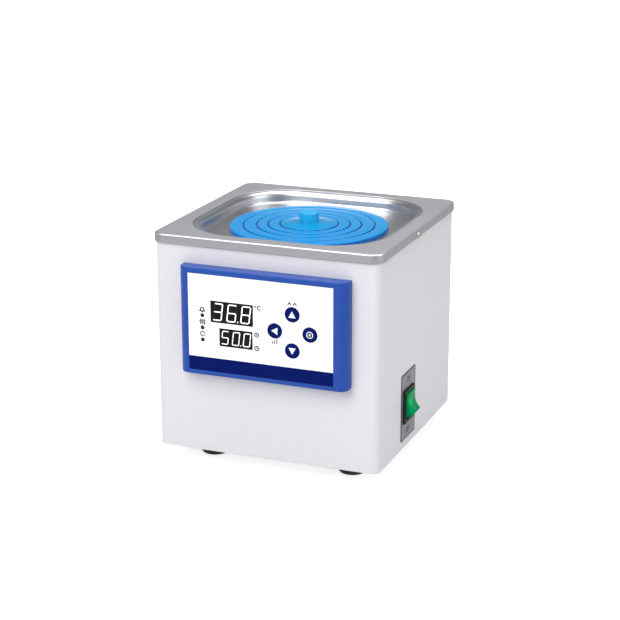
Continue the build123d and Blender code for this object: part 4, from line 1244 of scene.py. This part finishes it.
class BATH_OT_switch(bpy.types.Operator):
    """Green rocker in its black frame on the bordered plate"""

    bl_idname = "bath.switch"
    bl_label = "Rocker switch"

    def execute(self, context):
        colours = context.scene.bath_colours
        black = grained(
            "switch_plastic", (0.007, 0.007, 0.008), grain=0.0005, cloud=0.01, depth=0.12,
            roughness=(0.3, 0.4), edge=0.0004, specular_ior_level=0.2,
        )
        paint(black, "switch_housing")
        paint(self.plate_finish(colours), "switch_plate")
        piece("rocker_cap", rocker_mesh(), self.rocker_finish(colours), "rocker", ["rocker"])
        pale = grained("rocker_sign", (0.10, 0.42, 0.24), grain=0.0005, cloud=0.01, depth=0.02)
        piece("rocker_signs", rocker_signs(), pale, "rocker", smooth=False)
        ink = bpy.data.materials["printing_ink"]
        piece("switch_words", self.words(context), ink, "instrument", smooth=False)
        return {"FINISHED"}

    def words(self, context):
        """ON over the switch and OFF under it, standing on the plate."""
        middle, reach = (plate_low + plate_high) / 2, (plate_high - plate_low).z / 2 - WORD_INSET
        shapes = word("ON", middle.y, middle.z + reach) + word("OFF", middle.y, middle.z - reach)
        mesh = flat_marks(shapes, context.scene.bath_sizes.ink_thickness)
        mesh.transform(Matrix.Translation((plate_high.x, 0, 0)) @ Matrix.Rotation(math.radians(90), 4, "Z"))
        return mesh

    def plate_finish(self, colours):
        """Brushed plate with a dark printed border."""
        material = grained(
            "brushed_plate", colours.plate, grain=0.0005, cloud=0.02, depth=0.12, roughness=(0.35, 0.45),
            stretch=(1, 1, 0.08), metallic=0.6, specular_ior_level=0.3,
        )
        border = 1.2 * MM
        middle, half = (plate_low + plate_high) / 2, (plate_high - plate_low) / 2
        inside = (half.y - border, half.z - border)
        mask = rectangle_mask(material.node_tree, 1, (middle.y, middle.z), *inside)
        repaint(material, mask, low=(0.02, 0.035, 0.055))
        return material

    def rocker_finish(self, colours):
        """Translucent green with a soft light inside."""
        material = grained(
            "rocker_plastic", colours.rocker, grain=0.0006, cloud=0.008, depth=0.04, roughness=(0.2, 0.26),
            tone=0.85, emission_strength=0.5, specular_ior_level=0.02,
        )
        tree = material.node_tree
        middle = middle_of("rocker")
        inward, forward, up = 7.0 * MM, 2.5 * MM, 2.0 * MM
        light = (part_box("rocker")[1].x - inward, middle.y - forward, middle.z + up)
        inputs = {"Place": light, "Radius": 7.0 * MM, "Fall": 1.6}
        spot = add(tree, "ShaderNodeGroup", inputs, node_tree=spot_group())
        tint = shade(tree, (0.0, 0.012, 0.004), tuple(colours.glow), spot.outputs[0])
        tree.links.new(tint, tree.nodes["Principled BSDF"].inputs["Emission Color"])
        return material


WORD_INSET = 7.0 * MM
WORD_HEIGHT = 4.2 * MM
WORD_LINE = 0.75 * MM
LETTER_WIDTH = 0.62
LETTERS = {
    "O": [(0, 0), (0, 1), (LETTER_WIDTH, 1), (LETTER_WIDTH, 0), (0, 0)],
    "N": [(0, 0), (0, 1), (LETTER_WIDTH, 0), (LETTER_WIDTH, 1)],
    "F": [(0, 0), (0, 1), (0.55, 1), (0, 1), (0, 0.5), (0.45, 0.5)],
}


def word(letters, x, z):
    """Letters in strokes, centred on a place."""
    shapes = []
    for index, letter in enumerate(letters):
        start = x + WORD_HEIGHT * (index - (len(letters) - 1) / 2 - LETTER_WIDTH / 2)
        points = [(start + a * WORD_HEIGHT, z + (b - 0.5) * WORD_HEIGHT) for a, b in LETTERS[letter]]
        shapes += stroke(points, WORD_LINE)
    return shapes


PIVOT = Vector((98.9, -25.6, 54.3))
ROCKER_REST = math.radians(-15)
ROCKER_TIP = 11.2
ROCKER_HALF = 9.2
ROCKER_HOLLOW = 2.6
ROCKER_SIDE = 10.2
BARREL = 8.0
WAIST = 2.8
CHEEK = (4.4, 11.1)
PIN = 1.5 * MM
PIN_LENGTH = 1.6 * MM
PIN_PLACE = 10.5 * MM


def rocker_place():
    """Where the rocker's pivot stands, and its tilt at rest."""
    return Matrix.Translation(Vector((middle_x, 0, 0)) + PIVOT * MM) @ Matrix.Rotation(ROCKER_REST, 4, "Y")


def rocker_mesh():
    """The rocker's outline pulled across its width, with soft edges and two pivot pins."""
    heights = [ROCKER_HALF * step / 12 for step in range(12, -13, -1)]
    face = [(face_height(up * MM) / MM, up) for up in heights]
    barrel = [(-BARREL * math.sin(math.pi * k / 24), -BARREL * math.cos(math.pi * k / 24)) for k in range(25)]
    section = face + [(CHEEK[0], -CHEEK[1]), (WAIST, -BARREL)] + barrel + [(WAIST, BARREL), CHEEK]
    shell = bmesh.new()
    prism(shell, *([(x * MM, y * MM, z * MM) for x, z in section] for y in (-ROCKER_SIDE, ROCKER_SIDE)))
    face_outwards(shell)
    crisp = [edge for edge in shell.edges if edge.calc_face_angle(0) > math.radians(30)]
    bmesh.ops.bevel(shell, geom=crisp, offset=0.45 * MM, segments=3, profile=0.5, affect="EDGES")
    across = Matrix.Rotation(math.radians(90), 4, "X")
    for y in (-PIN_PLACE, PIN_PLACE):
        bmesh.ops.create_cone(
            shell, cap_ends=True, segments=24, radius1=PIN, radius2=PIN, depth=PIN_LENGTH,
            matrix=Matrix.Translation((0, y, 0)) @ across,
        )
    shell.transform(rocker_place())
    mesh = finished(shell, "rocker_cap")
    sharp_by_angle(mesh, 32)
    return mesh


def rocker_signs():
    """A ring on the lower half and a bar on the upper half of the rocker's face."""
    sunk, proud = 0.02 * MM, 0.03 * MM
    ring_up, radius, ring_line = -4.6 * MM, 1.9 * MM, 0.36 * MM
    bar_foot, bar_top, bar_line = 3.2 * MM, 6.2 * MM, 0.5 * MM
    ring = hoop(0, ring_up, radius, ring_line, steps=24)
    bar = stroke([(0, bar_foot), (0, bar_top)], bar_line)
    shell = bmesh.new()
    for shape in ring + bar:
        prism(
            shell,
            [(face_height(up) - sunk, across, up) for across, up in shape],
            [(face_height(up) + proud, across, up) for across, up in shape],
        )
    face_outwards(shell)
    shell.transform(rocker_place())
    return finished(shell, "rocker_signs")


def face_height(up):
    """How far the rocker's hollow face stands from the pivot at a height."""
    bow = (ROCKER_HALF ** 2 + ROCKER_HOLLOW ** 2) / (2 * ROCKER_HOLLOW)
    return (ROCKER_TIP - ROCKER_HOLLOW + bow - math.sqrt(bow ** 2 - (up / MM) ** 2)) * MM


class BATH_OT_feet(bpy.types.Operator):
    """Black rubber feet"""

    bl_idname = "bath.feet"
    bl_label = "Feet"

    def execute(self, context):
        rubber = grained(
            "foot_rubber", (0.004, 0.0042, 0.0042), grain=0.0007, cloud=0.01, depth=0.25,
            roughness=(0.55, 0.7), edge=0.0005, specular_ior_level=0.05,
        )
        paint(rubber, "foot_front_left", "foot_front_right", "foot_rear_left", "foot_rear_right")
        return {"FINISHED"}


class BATH_OT_screws(bpy.types.Operator):
    """Screws, nuts and studs in plated metal"""

    bl_idname = "bath.screws"
    bl_label = "Screws"

    def execute(self, context):
        plated = grained(
            "plated_steel", (0.62, 0.61, 0.58), grain=0.0004, cloud=0.004, depth=0.08, roughness=(0.2, 0.32),
            metallic=1.0, edge=0.0002,
        )
        paint(
            plated, "cover_screws", "rear_screws", "base_screws", "foot_screws", "knob_screw", "board_screws",
            "panel_screws", "board_spacers",
        )
        for name, facing in (("cover_screws", None), ("rear_screws", (0, 1, 0)), ("base_screws", (0, 0, -1))):
            mesh = screw_mesh(name, screw_places(name, facing), plated)
            piece(name + "_cross", mesh, None, "instrument", [name])
        return {"FINISHED"}


SCREW_REACH = 25 * MM
HEAD_HEIGHT = 1.6
HEAD_RADIUS = 2.8
SHANK_RADIUS = 1.5


def screw_places(name, facing):
    """Seat, direction and length of each screw of a node; with no facing it points outward along X."""
    node = nodes[name]
    groups = []
    for vertex in node.data.vertices:
        spot = node.matrix_world @ vertex.co
        near = next((group for group in groups if (group[0] - spot).length < SCREW_REACH), None)
        if near:
            near.append(spot)
        else:
            groups.append([spot])
    places = []
    for group in groups:
        middle = Vector(((min(p[k] for p in group) + max(p[k] for p in group)) / 2 for k in range(3)))
        way = Vector(facing or (math.copysign(1, middle.x - middle_x), 0, 0))
        along = [(spot - middle).dot(way) for spot in group]
        places.append((middle + way * (max(along) - HEAD_HEIGHT * MM), way, (max(along) - min(along)) / MM))
    return places


@built_once("Screw Set")
def screw_tree(name):
    """Geometry Nodes that cut a cross recess into a turned screw and set one on each point."""
    tree, pick, result = group_tree(
        name,
        "GeometryNodeTree",
        {
            "Points": "Geometry", "Blank": "Object", "Head Top": HEAD_HEIGHT * MM, "Recess Length": 3.2 * MM,
            "Recess Width": 0.7 * MM, "Recess Depth": 1.0 * MM, "Finish": "Material",
        },
        {"Geometry": "Geometry"},
    )
    blank = add(tree, "GeometryNodeObjectInfo", {0: pick["Blank"]}).outputs["Geometry"]
    deep = maths(tree, "MULTIPLY", pick["Recess Depth"], 2.0)
    cross = add(tree, "GeometryNodeMeshBoolean", operation="UNION")
    for across, along in (("Recess Length", "Recess Width"), ("Recess Width", "Recess Length")):
        blade = add(tree, "GeometryNodeMeshCube", {"Size": combined(tree, pick[across], pick[along], deep)})
        tree.links.new(blade.outputs["Mesh"], cross.inputs["Mesh 2"])
    height = combined(tree, z=pick["Head Top"])
    lifted = add(tree, "GeometryNodeTransform", {"Geometry": cross.outputs[0], "Translation": height})
    ends = {"Mesh 1": blank, "Mesh 2": lifted.outputs[0]}
    cut = add(tree, "GeometryNodeMeshBoolean", ends, operation="DIFFERENCE")
    copies = add(
        tree,
        "GeometryNodeInstanceOnPoints",
        {
            "Points": add(tree, "GeometryNodeMeshToPoints", {"Mesh": pick["Points"]}).outputs[0],
            "Instance": cut.outputs[0],
            "Rotation": attribute(tree, "turn", "FLOAT_VECTOR"),
        },
    )
    close_tree(tree, copies.outputs[0], pick["Finish"], result)
    return tree


def screw_mesh(name, places, finish):
    """All screws of a node, with crowned heads and cross recesses."""
    foot = HEAD_HEIGHT - places[0][2]
    section = [
        (0, foot, 0), (SHANK_RADIUS, foot, 0.3), (SHANK_RADIUS, 0, 0), (HEAD_RADIUS, 0, 0),
        (HEAD_RADIUS, HEAD_HEIGHT, 0.8), (0, HEAD_HEIGHT, 0),
    ]
    plain = turned(name + "_blank", section, finish, steps=32, rounding_steps=4)
    blank = bpy.data.objects.new(name + "_blank", plain)
    bpy.context.scene.collection.objects.link(blank)
    points = bpy.data.meshes.new(name + "_points")
    points.from_pydata([seat for seat, way, size in places], [], [])
    turns = [part for seat, way, size in places for part in way.to_track_quat("Z", "Y").to_euler()]
    points.attributes.new("turn", "FLOAT_VECTOR", "POINT").data.foreach_set("vector", turns)
    host = bpy.data.objects.new(name + "_points", points)
    mesh = grown(name + "_cross", host, screw_tree(), blank=blank, finish=finish)
    bpy.data.objects.remove(blank)
    with editing(mesh) as shell:
        stray = [vertex for vertex in shell.verts if not vertex.link_faces]
        bmesh.ops.delete(shell, geom=stray, context="VERTS")
    sharp_by_angle(mesh, 40)
    return mesh


class BATH_OT_rear(bpy.types.Operator):
    """Cord gland, its nut, the fuse holder and its cap"""

    bl_idname = "bath.rear"
    bl_label = "Rear fittings"

    def execute(self, context):
        black = grained(
            "moulded_black", (0.018, 0.018, 0.019), grain=0.0006, cloud=0.01, depth=0.15,
            roughness=(0.4, 0.52), edge=0.0004,
        )
        paint(black, "cord_gland", "gland_nut", "fuse_holder", "fuse_cap")
        return {"FINISHED"}


class BATH_OT_boards(bpy.types.Operator):
    """Boards and electrical parts inside the casing"""

    bl_idname = "bath.boards"
    bl_label = "Boards"

    def execute(self, context):
        mask = grained("solder_mask", (0.02, 0.16, 0.07), grain=0.0012, cloud=0.01, roughness=(0.3, 0.4))
        black = grained("relay_case", (0.02, 0.02, 0.022), grain=0.0006, cloud=0.01, roughness=(0.35, 0.45))
        core = grained(
            "varnished_core", (0.30, 0.13, 0.05), grain=0.0008, cloud=0.006, depth=0.3, roughness=(0.35, 0.5)
        )
        green = grained("terminal_green", (0.03, 0.30, 0.12), grain=0.0008, cloud=0.01)
        paint(mask, "control_board", "power_board")
        paint(black, "heater_relay", "key_switch_up", "key_switch_left", "key_switch_down", "key_switch_set")
        paint(core, "power_transformer")
        paint(green, "terminal_block")
        paint(bpy.data.materials["turned_brass"], "switch_terminals", "earth_stud")
        return {"FINISHED"}


STEPS = (
    BATH_OT_stage, BATH_OT_casing, BATH_OT_cover, BATH_OT_deck, BATH_OT_tank, BATH_OT_rings, BATH_OT_lid,
    BATH_OT_panel, BATH_OT_marks, BATH_OT_displays, BATH_OT_lamps, BATH_OT_keys, BATH_OT_switch, BATH_OT_feet,
    BATH_OT_screws, BATH_OT_rear, BATH_OT_boards,
)


class BATH_PT_sidebar(bpy.types.Panel):
    """Sidebar panel that lists the steps and the settings"""

    bl_idname = "BATH_PT_sidebar"
    bl_label = "Water Bath"
    bl_space_type = "VIEW_3D"
    bl_region_type = "UI"
    bl_category = "Water Bath"

    def draw(self, context):
        for step in STEPS:
            self.layout.operator(step.bl_idname)
        for group in (context.scene.bath_sizes, context.scene.bath_colours, context.scene.bath_studio):
            box = self.layout.box()
            for name in group.__annotations__:
                box.prop(group, name)


CLASSES = (BathSizes, BathColours, BathStudio, *STEPS, BATH_PT_sidebar)


def register():
    for item in CLASSES:
        bpy.utils.register_class(item)
    bpy.types.Scene.bath_sizes = PointerProperty(type=BathSizes)
    bpy.types.Scene.bath_colours = PointerProperty(type=BathColours)
    bpy.types.Scene.bath_studio = PointerProperty(type=BathStudio)


def unregister():
    del bpy.types.Scene.bath_studio
    del bpy.types.Scene.bath_colours
    del bpy.types.Scene.bath_sizes
    for item in reversed(CLASSES):
        bpy.utils.unregister_class(item)


def main():
    register()
    for step in STEPS:
        group, name = step.bl_idname.split(".")
        getattr(getattr(bpy.ops, group), name)()
    bpy.context.view_layer.update()


if __name__ == "__main__":
    main()
